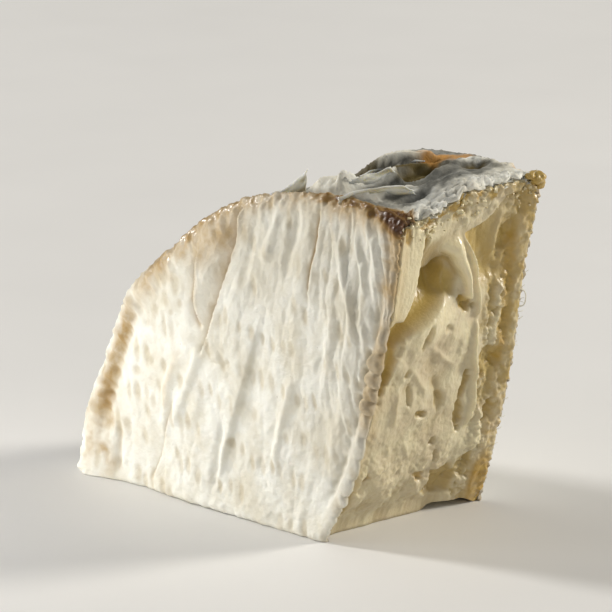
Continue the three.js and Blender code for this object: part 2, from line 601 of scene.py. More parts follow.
def front_stains_and_shade(u, v, r):
    """Tan and brown stains soaked into the rind, with painted shade in tan and dark brown along the
    creases: (tan, dark soaked brown with crease shade, wet).
    """
    blotch = rough(3.2, u, v, seed=21)
    fine = rough(1.1, u, v, seed=25, layers=2)
    angle = np.degrees(np.arctan2(v, u))
    edge = r + 1.1 * blotch
    upper = smooth(64, 78, angle) * smooth(149, 139, angle)
    band = smooth(RADIUS - 6.4, RADIUS - 1.8, edge) * upper
    band = band * (0.65 + 0.35 * smooth(-10, -24, u) + 0.2 * fine)
    tan = np.maximum(band, 0.7 * patch(u, v, (-25.5, 42.6), (7.0, 3.2), 35, 0.8, 0.3, 4))
    # painted shade in tan: beside the big sheet's edge, in the valley on its left and in the crease next
    # to it
    valley, side, share = near_line(
        u, v, [(-19.8, 48), (-20.8, 42), (-22.9, 35.5), (-25.6, 28), (-27.6, 23)]
    )
    shade = np.where(side < 0, np.exp(-valley / 1.5), np.exp(-valley / 0.25))
    tan = np.maximum(tan, shade * smooth(1.0, 0.3, share))
    valley, _, share = near_line(u, v, [(-28.8, 40.5), (-29.4, 36), (-29.0, 31), (-27.4, 27)])
    tan = np.maximum(tan, 0.55 * np.exp(-valley / 0.9) * tapered(share, 0.2))
    # painted shade in tan along the folds
    tan = np.maximum(tan, line_shades(u, v, TAN_FOLD_SHADE, 0.2))
    corner = patch(u, v, (-51.5, 8), (3.6, 6.5), 10, 0.6, 0.35, 6)
    tan = np.maximum(tan, corner * (0.45 + 0.45 * blotch))
    drip = smooth(46.5, 51.5, v + 1.6 * bumps(1.1, fold_coordinate(u, v), v * 0.08, seed=31))
    drip = drip * smooth(-9, 2, u)
    tan = np.maximum(tan, drip * 0.72)
    soak_and_crease_shade = patch(u, v, (12.6, 51.4), (4.2, 2.8), -20, 0.5, 0.3, 8)
    line = np.exp(-(((edge - RADIUS + 1.6) / 1.3) ** 2)) * smooth(-12, 2, u)
    soak_and_crease_shade = np.maximum(soak_and_crease_shade, line * (0.55 + 0.3 * fine))
    # darker painted shade along the big creases
    soak_and_crease_shade = np.maximum(soak_and_crease_shade, line_shades(u, v, DARK_CREASE_SHADE, 0.3))
    soak_and_crease_shade = np.maximum(soak_and_crease_shade, 0.22 * patch(u, v, (-50.6, 12.4), (1.6, 1.4), 30, 0.6, 0.4, 10))
    wet = np.maximum(band * smooth(0.35, 0.8, tan), soak_and_crease_shade)
    return tan, soak_and_crease_shade, wet


# ---------------------------------------------------------------------------
# The rim: loose, folded skin. y runs across the rim, s along it from the cut.
# ---------------------------------------------------------------------------
VALLEY = [(-13.4, 23), (-11.6, 18.6), (-9.4, 14.2), (-4.8, 11.4), (0.2, 8.8), (4.8, 6.2)]
FRONT_SHEET = [(-13.8, 15), (-11.8, 12), (-9.6, 9.8), (-6.4, 8.6), (-2.4, 7.8)]
MIDDLE_SHEET = [(-0.8, 14.0), (-4.4, 15.4), (-8.0, 16.8), (-10.6, 18.0)]
BACK_SHEET = [(-5.0, 22.5), (-1.4, 19.0), (2.6, 15.6), (7.0, 13.4)]
HOLLOW_MIDDLE = (1.4, 12.0)
DARK_SPOT = (8.0, 7.2)
FRONT_PIT = ((-5.8, 5.6), (2.4, 1.1), -10, 0.35, 0.2, 4)

# Strength, kind and sizes of each placed shape of the near rim.
RIM_SHAPES = (
    (1.0, ridge, VALLEY, 1.4, -1.2, 0.12),
    (1.0, ridge, FRONT_SHEET, 0.5, 0.9, 0.2),
    (-1.2, patch, *FRONT_PIT),
    (2.3, patch, (-10.0, 19.4), (2.7, 3.4), 4, 0.55, 0.35, 3),
    (1.0, sheet_edge, MIDDLE_SHEET, 1.5, 2.4, 0.9, 1.2, 0.10),
    (1.0, sheet_edge, BACK_SHEET, 1.2, 4.0, 1.0, 1.6, 0.10),
    (-1.9, patch, HOLLOW_MIDDLE, (3.8, 1.9), -22, 0.3, 0.2, 5),
    (-0.9, patch, (-1.0, 8.8), (3.4, 1.6), -24, 0.6),
    (1.0, ridge, [(4.4, 16.5), (8.8, 13.8), (13.0, 9.4)], 1.5, 0.5, 0.2),
    (-0.65, patch, (7.6, 14.0), (3.6, 2.4), -36, 0.7),
    (1.0, ridge, [(5.0, 9.4), (9.0, 8.8), (12.6, 5.4)], 0.5, 0.7, 0.2),
    (1.0, ridge, [(9.4, 6.2), (11.4, 4.6), (14.4, 4.4)], 0.45, 0.6, 0.2),
    (-0.8, patch, DARK_SPOT, (1.8, 1.0), -20, 0.5, 0.3, 7),
)

# Strength and oval of each olive spot of the near rim: paste seen in holes of the skin, painted dark as
# shade.
OLIVE_SPOTS = (
    (1.0, HOLLOW_MIDDLE, (4.0, 2.1), -22, 0.3, 0.2, 5),
    (1.0, DARK_SPOT, (1.8, 1.0), -20, 0.5, 0.3, 9),
    (0.8, (-2.6, 20.6), (2.4, 1.6), -30, 0.4, 0.3, 17),
    (1.0, (5.4, 13.6), (2.2, 0.8), -20, 0.5, 0.3, 19),
)


def rim_slump(y, s):
    """How far the whole rim has sunk below the plain wheel, as a height."""
    behind = smooth(-15.2, -12.4, y)
    front_part = 2.1 * smooth(2.0, -7.0, y) * smooth(40, 28, s)
    start = 14.0 + 0.45 * np.maximum(y + 8, 0)
    far_part = 2.4 * smooth(0, 6.0, s - start) * smooth(64, 48, s)
    return -behind * np.maximum(front_part, far_part)


def rim_folds(y, s):
    """Height of the loose skin over the sunk rim."""
    near = smooth(36, 28, s)
    height = 0.20 * bumps(5.5, y, s * 0.6, seed=41) + 0.10 * rough(1.5, y, s, seed=43)
    along = s + 0.35 * y
    height = height + 0.26 * (0.35 - np.abs(bumps(2.2, along, y * 0.3, seed=47)))
    height = height + 0.12 * (0.35 - np.abs(bumps(0.8, along, y * 0.35, seed=49)))
    for strength, kind, *sizes in RIM_SHAPES:
        height = height + near * strength * kind(y, s, *sizes)
    # fine crimps along the middle sheet
    crimped = np.exp(-((near_line(y, s, MIDDLE_SHEET)[0] / 2.0) ** 2))
    height = height + near * 0.10 * np.sin(6.5 * (y + 0.4 * s)) * crimped
    near_cut = smooth(4.6, 0.8, s)
    frost = 0.45 * rough(1.0, y, s, seed=51) + 0.45 * np.abs(bumps(0.7, y, s, seed=53))
    return height + near_cut * (frost + 0.1)


def rim_stains_and_shade(y, s, height):
    """(grey, olive, orange) on the rim: grey is painted shade on the sunk skin and along the valley, with
    grey along fine veins, while raised skin keeps its white bloom; olive is paste in the holes, painted
    dark as shade, with painted shade under the back sheet's edge; orange is a stain.
    """
    near = smooth(44, 26, s)
    cloud = rough(2.6, y, s, seed=61)
    # painted shade: grey where the skin lies low
    grey = smooth(0.75, -0.15, height + 0.4 * cloud)
    valley = near_line(y, s, VALLEY)[0]
    grey = np.maximum(grey, np.exp(-((valley / 1.7) ** 2)) * near)
    pit = patch(y, s, *FRONT_PIT)
    frost = smooth(5.2, 3.0, s + 0.6 * cloud) * (1 - pit)
    lump_top = patch(y, s, (-10.0, 19.0), (3.8, 5.0), 4, 0.4)
    veins = np.abs(bumps(2.2, y + 0.6 * cloud, s * 1.4, seed=63))
    grey = np.maximum(grey, 0.75 * smooth(0.16, 0.02, veins) * smooth(3, 6, y) * near)
    grey = grey * mix(0.25, 1.0, near) * (1 - 0.70 * frost) * (1 - 0.85 * lump_top)
    # painted shade: dark olive along the low side of the back sheet's edge
    line, side, share = near_line(y, s, BACK_SHEET)
    ledge = np.where(side < 0, np.exp(-(((line - 1.5) / 0.8) ** 2)), 0)
    olive = near * ledge * tapered(share, 0.05)
    # paste in the rim's holes, painted dark olive as shade
    for strength, *oval in OLIVE_SPOTS:
        olive = np.maximum(olive, strength * near * patch(y, s, *oval))
    orange = near * patch(y, s, (7.8, 13.4), (4.2, 2.2), -36, 0.5, 0.35, 11)
    orange = orange * (1 - 0.6 * patch(y, s, (8.0, 11.8), (1.6, 0.9), -30, 0.5))
    orange = np.maximum(orange, near * 0.8 * patch(y, s, (14.6, 2.2), (1.8, 2.2), 0, 0.5, 0.3, 13))
    return grey, olive, orange


def plain_folds(u, v, seed):
    """Soft, evenly spread folds, for the back face."""
    across = fold_coordinate(u, v)
    height = 0.34 * bumps(4.6, across, v * 0.16, seed=seed)
    sharp = np.abs(bumps(1.8, across, v * 0.10, seed=seed + 2))
    height = height + 0.26 * (0.35 - sharp)
    height = height + 0.12 * rough(3.2, u, v, seed=seed + 4)
    return height


# ---------------------------------------------------------------------------
# The end cut. y runs across it and t up it.
# ---------------------------------------------------------------------------
PLANE_EDGE = [(-7.6, 54), (-7.9, 50), (-8.3, 46), (-9.2, 41), (-10.4, 38), (-12.6, 35.4)]
POCKET_LINE = [(-12.4, 34.2), (-9.8, 36.4), (-6.6, 38.4), (-3.8, 40.2), (-2.2, 42.0)]
POCKET_LIP = [(-9.8, 34.4), (-7.2, 35.2), (-4.6, 37.2), (-1.4, 38.8)]
SECOND_TOP = [(0.2, 47.4), (2.6, 47.9), (5.4, 49.4), (8.6, 51.6)]
SECOND_LEFT = [(1.0, 48.6), (2.4, 45.6), (4.0, 42.2), (5.6, 38.8), (6.4, 35.4)]
TONGUE_LINE = [(-1.8, 47.4), (-0.2, 45.4), (1.4, 42.6), (2.6, 39.8), (3.4, 37.0)]
BRIGHT_RIDGE = [(2.2, 47.6), (3.4, 44.0), (5.0, 40.4), (6.2, 36.8), (7.0, 33.0)]
LOWER_RIDGE = [(7.0, 34), (6.4, 30.5), (6.8, 27), (8.2, 24), (8.5, 19), (8.2, 14.5)]
LOWER_CREST = [(7.0, 34), (6.5, 30), (8.0, 24), (8.4, 19), (8.1, 14)]
OCHRE_BAND = [(11.2, 49), (12.4, 42), (12.9, 35), (12.8, 29), (12.4, 23)]

# Middle, radii, depth, turn, olive, ochre and, where it isn't the usual one, softness.
HOLLOWS = (
    ((-1.3, 40.6), (1.6, 2.4), 0.5, 22, 0.95, 0, 0.5),
    ((3.3, 36.3), (2.0, 1.0), 1.6, -28, 0.9, 0),
    ((-5.3, 33.0), (0.7, 1.8), 1.0, -14, 0.5, 0),
    ((-12.9, 30.4), (1.35, 4.8), 2.3, 0, 0.95, 0.35),
    ((-10.8, 32.2), (0.9, 1.0), 0.7, 0, 0, 0.2),
    ((6.2, 22.6), (0.8, 2.0), 1.3, -10, 0.75, 0),
    ((6.0, 17.6), (0.8, 2.8), 1.3, 6, 0.65, 0),
    ((10.8, 45.2), (1.4, 2.7), 1.6, -12, 0.8, 0),
    ((10.8, 25.4), (2.0, 2.8), 1.2, 16, 0.7, 0),
    ((12.2, 17.0), (0.7, 2.0), 1.1, -6, 0.6, 0),
    ((6.4, 6.0), (2.3, 3.0), 1.9, 0, 0.55, 0),
    ((9.6, 7.6), (1.5, 2.4), 1.1, -20, 0.4, 0),
    ((-13.9, 5.0), (1.0, 3.8), 1.0, 0, 0.6, 0.3),
    ((-7.2, 47.4), (0.8, 1.7), 1.6, -6, 0.95, 0),
    ((-2.9, 19.7), (1.3, 0.6), 1.0, -24, 0.6, 0),
    ((1.5, 14.0), (0.6, 0.6), 0.8, 0, 0.35, 0),
    ((0.7, 8.0), (1.1, 0.7), 0.9, -30, 0.2, 0.5),
    ((2.9, 11.2), (0.45, 1.0), 0.8, 10, 0.25, 0),
    ((-11.6, 10.5), (0.9, 0.8), 0.8, 0, 0, 0.7),
    ((-6.4, 23.4), (0.5, 1.7), 0.7, 8, 0.25, 0),
    ((-7.8, 27.4), (0.6, 0.7), 0.6, 0, 0.4, 0),
    ((0.8, 21.2), (0.9, 1.7), 0.6, 30, 0.3, 0),
    ((-0.4, 33.4), (1.1, 0.6), 0.5, -20, 0.15, 0),
    # pockets under the rim skin
    ((-6.6, 52.5), (2.6, 0.8), 1.3, 8, 0.3, 1.0),
    ((-1.6, 53.4), (2.0, 0.8), 1.3, 6, 0.3, 1.0),
    ((-0.6, 51.4), (1.4, 0.9), 0.6, 0, 0.3, 0.4),
    ((-12.8, 50.6), (1.2, 1.8), 0.3, 0, 0, 0.9),
    ((2.4, 53.8), (0.8, 0.5), 0.9, 30, 0, 0.9),
    ((5.2, 53.5), (1.2, 0.8), 1.0, 0, 0.5, 0.6),
)

# Drag marks from the knife, most of them running down to the right: points, width, height.
DRAG_MARKS = (
    ([(-4.2, 31.4), (-0.6, 28.8), (3.2, 26.2)], 0.45, 0.40),
    ([(-1.6, 26.0), (0.4, 22.6), (2.2, 20.4)], 0.5, -0.45),
    ([(-7.6, 28.8), (-4.6, 25.4), (-2.2, 22.8)], 0.5, 0.38),
    ([(-8.8, 26.0), (-9.2, 22.0), (-8.6, 18.6)], 0.45, 0.42),
    ([(-5.2, 15.6), (-3.8, 13.4), (-2.8, 11.4)], 0.45, 0.30),
    ([(-8.6, 15.4), (-7.8, 13.6)], 0.4, 0.30),
    ([(3.4, 12.2), (3.6, 9.6), (4.4, 7.6)], 0.5, 0.45),
    ([(-0.8, 9.6), (0.8, 6.0), (3.2, 2.6)], 0.7, 0.45),
    ([(-13.6, 12.2), (-13.2, 8.8), (-11.2, 6.4)], 0.45, 0.45),
    ([(9.2, 50.8), (8.4, 46.6), (8.6, 41.0)], 0.5, 0.50),
    ([(9.4, 41.6), (8.8, 36.0), (9.4, 30.0)], 0.5, 0.35),
    ([(12.4, 30.4), (13.0, 27.6)], 0.6, 0.50),
    ([(-1.4, 52.0), (0.8, 50.0), (1.6, 48.6)], 0.4, 0.35),
    ([(2.6, 51.6), (0.6, 49.2), (-1.2, 48.0)], 0.35, 0.3),
    ([(6.0, 53.0), (3.4, 50.4), (1.0, 48.6)], 0.4, 0.35),
)


class Relief:
    """The end cut while it is being shaped: its height and the masks painted on it."""

    def __init__(self, y, t):
        self.y = y
        self.t = t
        self.height = 0.55 * bumps(11, y, t, seed=71) + 0.28 * bumps(4.8, y, t, seed=72)
        self.masks = {name: np.zeros(np.shape(y)) for name in ("deep", "ripe", "gloss", "calm")}
        # where the cut is painted lighter, as a highlight
        self.crest = np.zeros(np.shape(y))

    def add(self, amount):
        self.height = self.height + amount

    def mark(self, name, strength):
        """Strengthens a mask wherever this is stronger than what is there."""
        self.masks[name] = np.maximum(self.masks[name], strength)

    def patch(self, *oval):
        return patch(self.y, self.t, *oval)

    def hollow(self, middle, radii, depth, turn, olive, ochre, edge=0.32):
        seed = int(abs(middle[0] * 7 + middle[1] * 3))
        spot = self.patch(middle, radii, turn, edge, 0.35, seed)
        self.add(-0.85 * depth * spot)
        self.mark("deep", olive * spot)
        self.mark("ripe", ochre * spot)


def knife_plane(cut):
    """Lays the smooth plane that the knife left, with a crisp right-hand edge."""
    away, side, _ = near_line(cut.y, cut.t, PLANE_EDGE)
    plane = np.where(side < 0, smooth(0, 0.35, away), 0.0)
    plane = plane * smooth(35.2, 37.0, cut.t + 0.3 * cut.y + 3.6) * smooth(54, 52.6, cut.t)
    cut.mark("calm", plane)
    cut.height = cut.height * (1 - 0.85 * plane) + plane * (0.62 + 0.06 * (cut.y + 13.5))
    return plane


def long_pocket(cut, plane):
    """The slope down from the plane, the long pocket it runs into, and the pocket's lip."""
    slope = cut.patch((-4.0, 46.0), (5.4, 6.0), 10, 0.5) * (1 - plane)
    cut.add(-2.0 * slope * smooth(49.0, 42.5, cut.t))
    cut.mark("calm", slope)
    away, side, share = near_line(cut.y, cut.t, POCKET_LINE)
    wide = mix(1.8, 2.5, smooth(0.0, 0.5, share))
    wide = mix(wide, 1.3, smooth(0.7, 1.0, share))
    upper_side = smooth(0.4, 1.6, away / wide)
    lower_side = smooth(0.55, 1.25, away / wide)
    pocket = 1 - np.where(side > 0, upper_side, lower_side)
    cut.add(-2.7 * pocket * (1 - plane))
    cut.mark("deep", pocket * (1 - plane))
    cut.mark("calm", pocket)
    cut.add(0.75 * cut.patch((-3.4, 35.2), (4.4, 3.4), 20, 0.6))
    cut.add(ridge(cut.y, cut.t, POCKET_LIP, 0.9, 0.45, 0.2))


def second_hollow(cut):
    """Sinks the hollow right of the hanging tongue."""
    away, side, _ = near_line(cut.y, cut.t, SECOND_TOP)
    left_away, left_side, _ = near_line(cut.y, cut.t, SECOND_LEFT)
    right_of = smooth(0.0, 0.8, left_away) * np.exp(-left_away / 4.2)
    right_of = np.where(left_side > 0, right_of, 0.0)
    under = np.where(side < 0, smooth(0.0, 0.5, away), 0.0)
    sunk = np.clip(right_of * under * 2.1, 0, 1) * smooth(37, 41, cut.t)
    cut.add(-1.7 * sunk)
    cut.mark("deep", 0.85 * sunk)
    cut.mark("calm", sunk)
    return sunk


def hanging_tongue(cut):
    """The tongue of soft paste, the shoulder it hangs from and the bright ridge below it."""
    away, _, share = near_line(cut.y, cut.t, TONGUE_LINE)
    wide = mix(2.0, 0.65, smooth(0.0, 0.85, share))
    tongue = np.clip(1 - (away / wide) ** 2, 0, 1) ** 0.8 * smooth(0, 0.35, share)
    cut.add(mix(2.3, 1.5, share) * tongue)
    cut.masks["deep"] = cut.masks["deep"] * (1 - 0.95 * smooth(0.30, 0.75, tongue))
    # the tongue's top is glossy and, through the same mask, painted lighter as a highlight; so is its
    # shoulder
    cut.mark("gloss", smooth(0.30, 0.80, tongue) * smooth(36, 41, cut.t))
    cut.mark("calm", smooth(0, 0.4, tongue))
    shoulder = cut.patch((-0.9, 45.8), (2.0, 1.3), -6, 0.7)
    cut.add(0.40 * shoulder)
    cut.mark("gloss", shoulder)
    cut.mark("calm", shoulder)
    cut.add(ridge(cut.y, cut.t, BRIGHT_RIDGE, 0.55, 1.0, 0.12))
    cut.add(ridge(cut.y, cut.t, LOWER_RIDGE, 0.5, 1.0, 0.12))
    # painted highlight along the bright ridge, the lower ridge and the tongue
    cut.crest = ridge(cut.y, cut.t, BRIGHT_RIDGE, 0.5, 0.45, 0.1) + 0.8 * tongue
    cut.crest = cut.crest + ridge(cut.y, cut.t, LOWER_CREST, 0.4, 0.8, 0.1)


def back_band(cut):
    """The brown-ochre band beside the back rind, and the yellow foot under it."""
    band = ridge(cut.y, cut.t, OCHRE_BAND, 1.0, 1.0, 0.12)
    cut.add(-0.35 * band)
    cut.mark("ripe", 0.95 * band)
    foot = cut.patch((13.9, 4.6), (1.9, 5.4), 0, 0.35, 0.1, 5)
    cut.add(0.5 * foot)
    cut.mark("ripe", 0.92 * foot)
    cut.mark("calm", foot)
    cut.mark("ripe", 0.45 * cut.patch((13.8, 51.0), (2.0, 4.4), 0, 0.5, 0.4, 8))


def torn_texture(cut, sunk):
    """Smeared layers with crisp edges, coarser to the right and along the top."""
    y, t, calm = cut.y, cut.t, cut.masks["calm"]
    torn = 0.35 + 0.65 * smooth(7.5, 9.5, y)
    torn = np.maximum(torn, smooth(49.5, 52.0, t))
    torn = np.maximum(torn, 0.8 * smooth(16, 10, t + 0.2 * y))
    torn = torn * (1 - 0.9 * calm)
    ragged = y + 0.35 * rough(0.8, y, t, seed=79, layers=2)
    layers = 2.2 * bumps(4.2, ragged * 1.3, t * 0.62, seed=80)
    layers = layers + 2.2 * bumps(2.4, ragged, t * 0.7, seed=82)
    step = np.floor(layers) + smooth(0.72, 1.0, layers - np.floor(layers))
    cut.add((0.055 + 0.16 * torn) * step * (1 - 0.95 * calm))
    drag = bumps(0.9, y * 0.9 + t * 0.9, (t - y) * 0.22, seed=81)
    wild = torn * smooth(8.0, 9.6, y)
    cut.add(torn * (0.09 * drag + 0.15 * rough(1.1, y, t, seed=83)))
    cut.add(wild * (0.42 * rough(1.2, y, t * 0.8, seed=84) - 0.1))
    cut.add((torn + 1.6 * wild) * 0.16 * (np.abs(bumps(0.9, y, t, seed=89)) - 0.25))
    streaks = bumps(0.55, y * 1.0 - t * 0.14, t * 0.16, seed=91)
    cut.add((calm * 0.035 + sunk * 0.09) * streaks)
    cut.add((0.03 + 0.07 * wild) * rough(0.6, y, t, seed=95, layers=2))
    low_spots = smooth(-0.1, -0.8, cut.height) * smooth(7, 9, y) * (1 - calm)
    cut.mark("deep", 0.55 * low_spots)


def cut_relief(y, t):
    """The torn and smeared paste of the end cut, with its colour masks."""
    cut = Relief(y, t)
    plane = knife_plane(cut)
    long_pocket(cut, plane)
    sunk = second_hollow(cut)
    hanging_tongue(cut)
    for sizes in HOLLOWS:
        cut.hollow(*sizes)
    for points, width, height in DRAG_MARKS:
        cut.add(ridge(y, t, points, width, height, 0.3))
    back_band(cut)
    torn_texture(cut, sunk)
    return cut


# ---------------------------------------------------------------------------
# Materials
# ---------------------------------------------------------------------------
def add_node(tree, kind, **inputs):
    node = tree.nodes.new(kind)
    for key, value in inputs.items():
        node.inputs[key.replace("_", " ")].default_value = value
    return node


def mottle_group():
    """Soft cloudy variation, used by every finish."""
    found = bpy.data.node_groups.get("cheese_mottle")
    if found:
        return found
    group = bpy.data.node_groups.new("cheese_mottle", "ShaderNodeTree")
    face = group.interface
    face.new_socket("Size", in_out="INPUT", socket_type="NodeSocketFloat").default_value = 200
    face.new_socket("Contrast", in_out="INPUT", socket_type="NodeSocketFloat").default_value = 1
    face.new_socket("Value", in_out="OUTPUT", socket_type="NodeSocketFloat")
    start = group.nodes.new("NodeGroupInput")
    end = group.nodes.new("NodeGroupOutput")
    place = group.nodes.new("ShaderNodeTexCoord")
    cloud = add_node(group, "ShaderNodeTexNoise", Detail=5.0, Roughness=0.6)
    centre = group.nodes.new("ShaderNodeMath")
    centre.operation = "SUBTRACT"
    centre.inputs[1].default_value = 0.5
    gain = group.nodes.new("ShaderNodeMath")
    gain.operation = "MULTIPLY"
    back = group.nodes.new("ShaderNodeMath")
    back.operation = "ADD"
    back.use_clamp = True
    back.inputs[1].default_value = 0.5
    for start_socket, end_socket in (
        (place.outputs["Object"], cloud.inputs["Vector"]),
        (start.outputs["Size"], cloud.inputs["Scale"]),
        (cloud.outputs["Fac"], centre.inputs[0]),
        (centre.outputs[0], gain.inputs[0]),
        (start.outputs["Contrast"], gain.inputs[1]),
        (gain.outputs[0], back.inputs[0]),
        (back.outputs[0], end.inputs["Value"]),
    ):
        group.links.new(start_socket, end_socket)
    return group


def grain_group():
    """Fine surface grain as a height: a felt of small bumps over larger ones."""
    found = bpy.data.node_groups.get("cheese_grain")
    if found:
        return found
    group = bpy.data.node_groups.new("cheese_grain", "ShaderNodeTree")
    face = group.interface
    face.new_socket("Fine", in_out="INPUT", socket_type="NodeSocketFloat").default_value = 3000
    face.new_socket("Coarse", in_out="INPUT", socket_type="NodeSocketFloat").default_value = 900
    face.new_socket("Fine share", in_out="INPUT", socket_type="NodeSocketFloat").default_value = 0.5
    face.new_socket("Height", in_out="OUTPUT", socket_type="NodeSocketFloat")
    start = group.nodes.new("NodeGroupInput")
    end = group.nodes.new("NodeGroupOutput")
    place = group.nodes.new("ShaderNodeTexCoord")
    fine = add_node(group, "ShaderNodeTexNoise", Detail=3.0, Roughness=0.6)
    coarse = add_node(group, "ShaderNodeTexNoise", Detail=4.0, Roughness=0.65)
    blend = group.nodes.new("ShaderNodeMix")
    for start_socket, end_socket in (
        (place.outputs["Object"], fine.inputs["Vector"]),
        (place.outputs["Object"], coarse.inputs["Vector"]),
        (start.outputs["Fine"], fine.inputs["Scale"]),
        (start.outputs["Coarse"], coarse.inputs["Scale"]),
        (start.outputs["Fine share"], blend.inputs["Factor"]),
        (coarse.outputs["Fac"], blend.inputs[2]),
        (fine.outputs["Fac"], blend.inputs[3]),
        (blend.outputs[0], end.inputs["Height"]),
    ):
        group.links.new(start_socket, end_socket)
    return group


class Finish:
    """A material being laid up: colours over one another, then gloss and grain."""

    def __init__(self, name):
        self.material = bpy.data.materials.new(name)
        self.material.use_nodes = True
        self.tree = self.material.node_tree
        self.tree.nodes.clear()
        self.out = self.tree.nodes.new("ShaderNodeOutputMaterial")
        self.shader = self.tree.nodes.new("ShaderNodeBsdfPrincipled")
        self.tree.links.new(self.shader.outputs[0], self.out.inputs["Surface"])
        self.colour = None

    def link(self, a, b):
        self.tree.links.new(a, b)

    def mask(self, name, low=0.0, high=1.0):
        """A painted mask of the mesh, stretched between two levels."""
        node = self.tree.nodes.new("ShaderNodeAttribute")
        node.attribute_name = name
        if (low, high) == (0.0, 1.0):
            return node.outputs["Fac"]
        return self.stretch(node.outputs["Fac"], low, high)

    def stretch(self, value, low, high, to_low=0.0, to_high=1.0):
        """Stretches a value from one pair of levels to another."""
        node = self.tree.nodes.new("ShaderNodeMapRange")
        node.inputs["From Min"].default_value = low
        node.inputs["From Max"].default_value = high
        node.inputs["To Min"].default_value = to_low
        node.inputs["To Max"].default_value = to_high
        self.link(value, node.inputs["Value"])
        return node.outputs["Result"]

    def mottle(self, size, contrast):
        """Cloudy variation: a larger size number makes smaller clouds."""
        node = self.tree.nodes.new("ShaderNodeGroup")
        node.node_tree = mottle_group()
        node.inputs["Size"].default_value = size
        node.inputs["Contrast"].default_value = contrast
        return node.outputs["Value"]

    def times(self, a, b):
        """One value or number times another, held between 0 and 1."""
        node = self.tree.nodes.new("ShaderNodeMath")
        node.operation = "MULTIPLY"
        node.use_clamp = True
        for n, value in enumerate((a, b)):
            if isinstance(value, (int, float)):
                node.inputs[n].default_value = value
            else:
                self.link(value, node.inputs[n])
        return node.outputs[0]

    def lay(self, colour, share=None):
        """Lays a colour over what is there, by a share that changes over the surface."""
        if self.colour is None:
            node = self.tree.nodes.new("ShaderNodeRGB")
            node.outputs[0].default_value = tuple(colour) + (1.0,)
            self.colour = node.outputs[0]
            return
        node = self.tree.nodes.new("ShaderNodeMix")
        node.data_type = "RGBA"
        node.inputs[7].default_value = tuple(colour) + (1.0,)
        self.link(self.colour, node.inputs[6])
        if isinstance(share, (int, float)):
            node.inputs[0].default_value = share
        else:
            self.link(share, node.inputs[0])
        self.colour = node.outputs[2]

    def grain(self, fine, coarse, fine_share, strength, depth):
        """Fine bumps all over, no deeper than that depth in metres."""
        group = self.tree.nodes.new("ShaderNodeGroup")
        group.node_tree = grain_group()
        group.inputs["Fine"].default_value = fine
        group.inputs["Coarse"].default_value = coarse
        group.inputs["Fine share"].default_value = fine_share
        bump = self.tree.nodes.new("ShaderNodeBump")
        bump.inputs["Strength"].default_value = strength
        bump.inputs["Distance"].default_value = depth
        self.link(group.outputs["Height"], bump.inputs["Height"])
        self.link(bump.outputs["Normal"], self.shader.inputs["Normal"])

    def done(self, roughness, subsurface, radius, scale, coat=None):
        """Joins colour and roughness to the shader and sets how light sinks in."""
        inputs = self.shader.inputs
        self.link(self.colour, inputs["Base Color"])
        self.link(roughness, inputs["Roughness"])
        inputs["Subsurface Weight"].default_value = subsurface
        inputs["Subsurface Radius"].default_value = radius
        inputs["Subsurface Scale"].default_value = scale
        inputs["Specular IOR Level"].default_value = 0.45
        inputs["Coat Roughness"].default_value = 0.16
        if coat is not None:
            self.link(coat, inputs["Coat Weight"])
        return self.material


def rind_material(look):
    f = Finish("white_rind")
    f.lay(look.rind_white)
    f.lay(look.rind_cream, f.stretch(f.mottle(160, 1.6), 0.35, 0.75))
    f.lay(look.mat_mark, f.times(f.mask("mark"), f.stretch(f.mottle(420, 1.4), 0.2, 0.8, 0.5, 1.0)))
    # painted shade in the front's fold valleys, over its upper and right parts and on the lip
    f.lay(look.valley_grey, f.times(f.mask("sunk"), 0.9))
    # painted shade on the rim's low skin
    f.lay(look.rim_shade_grey, f.times(f.mask("grey"), f.stretch(f.mottle(300, 2.0), 0.1, 0.8, 0.6, 1.0)))
    # the shoulder's tan stain, with painted shade in tan along the folds and on the lip
    tan = f.times(f.mask("tan"), f.stretch(f.mottle(520, 2.0), 0.0, 0.9, 0.55, 1.25))
    f.lay(look.tan_stain_and_shade, tan)
    # wet brown stains, with painted shade along the front's big creases
    f.lay(look.soaked_gold_and_shade, f.mask("soak_and_crease_shade", 0.0, 0.45))
    f.lay(look.soaked_brown_and_shade, f.mask("soak_and_crease_shade", 0.35, 1.0))
    # olive paste in the rim's holes, painted dark as shade, and painted shade under the back sheet's edge
    f.lay(look.hollow_olive_and_shade, f.mask("olive"))
    f.lay(look.stain_orange, f.times(f.mask("orange"), f.stretch(f.mottle(380, 2.0), 0.2, 0.8, 0.5, 1.0)))
    specks = f.stretch(f.mottle(1500, 1.0), 0.69, 0.74, 0.0, 0.42)
    f.lay(look.speck_brown, specks)
    wet = f.mask("wet")
    roughness = f.stretch(wet, 0.0, 1.0, 0.86, 0.30)
    f.grain(2600, 800, 0.45, 0.55, 0.00035)
    return f.done(roughness, 0.10, (1.0, 0.85, 0.6), 0.0008, coat=f.times(wet, 0.35))


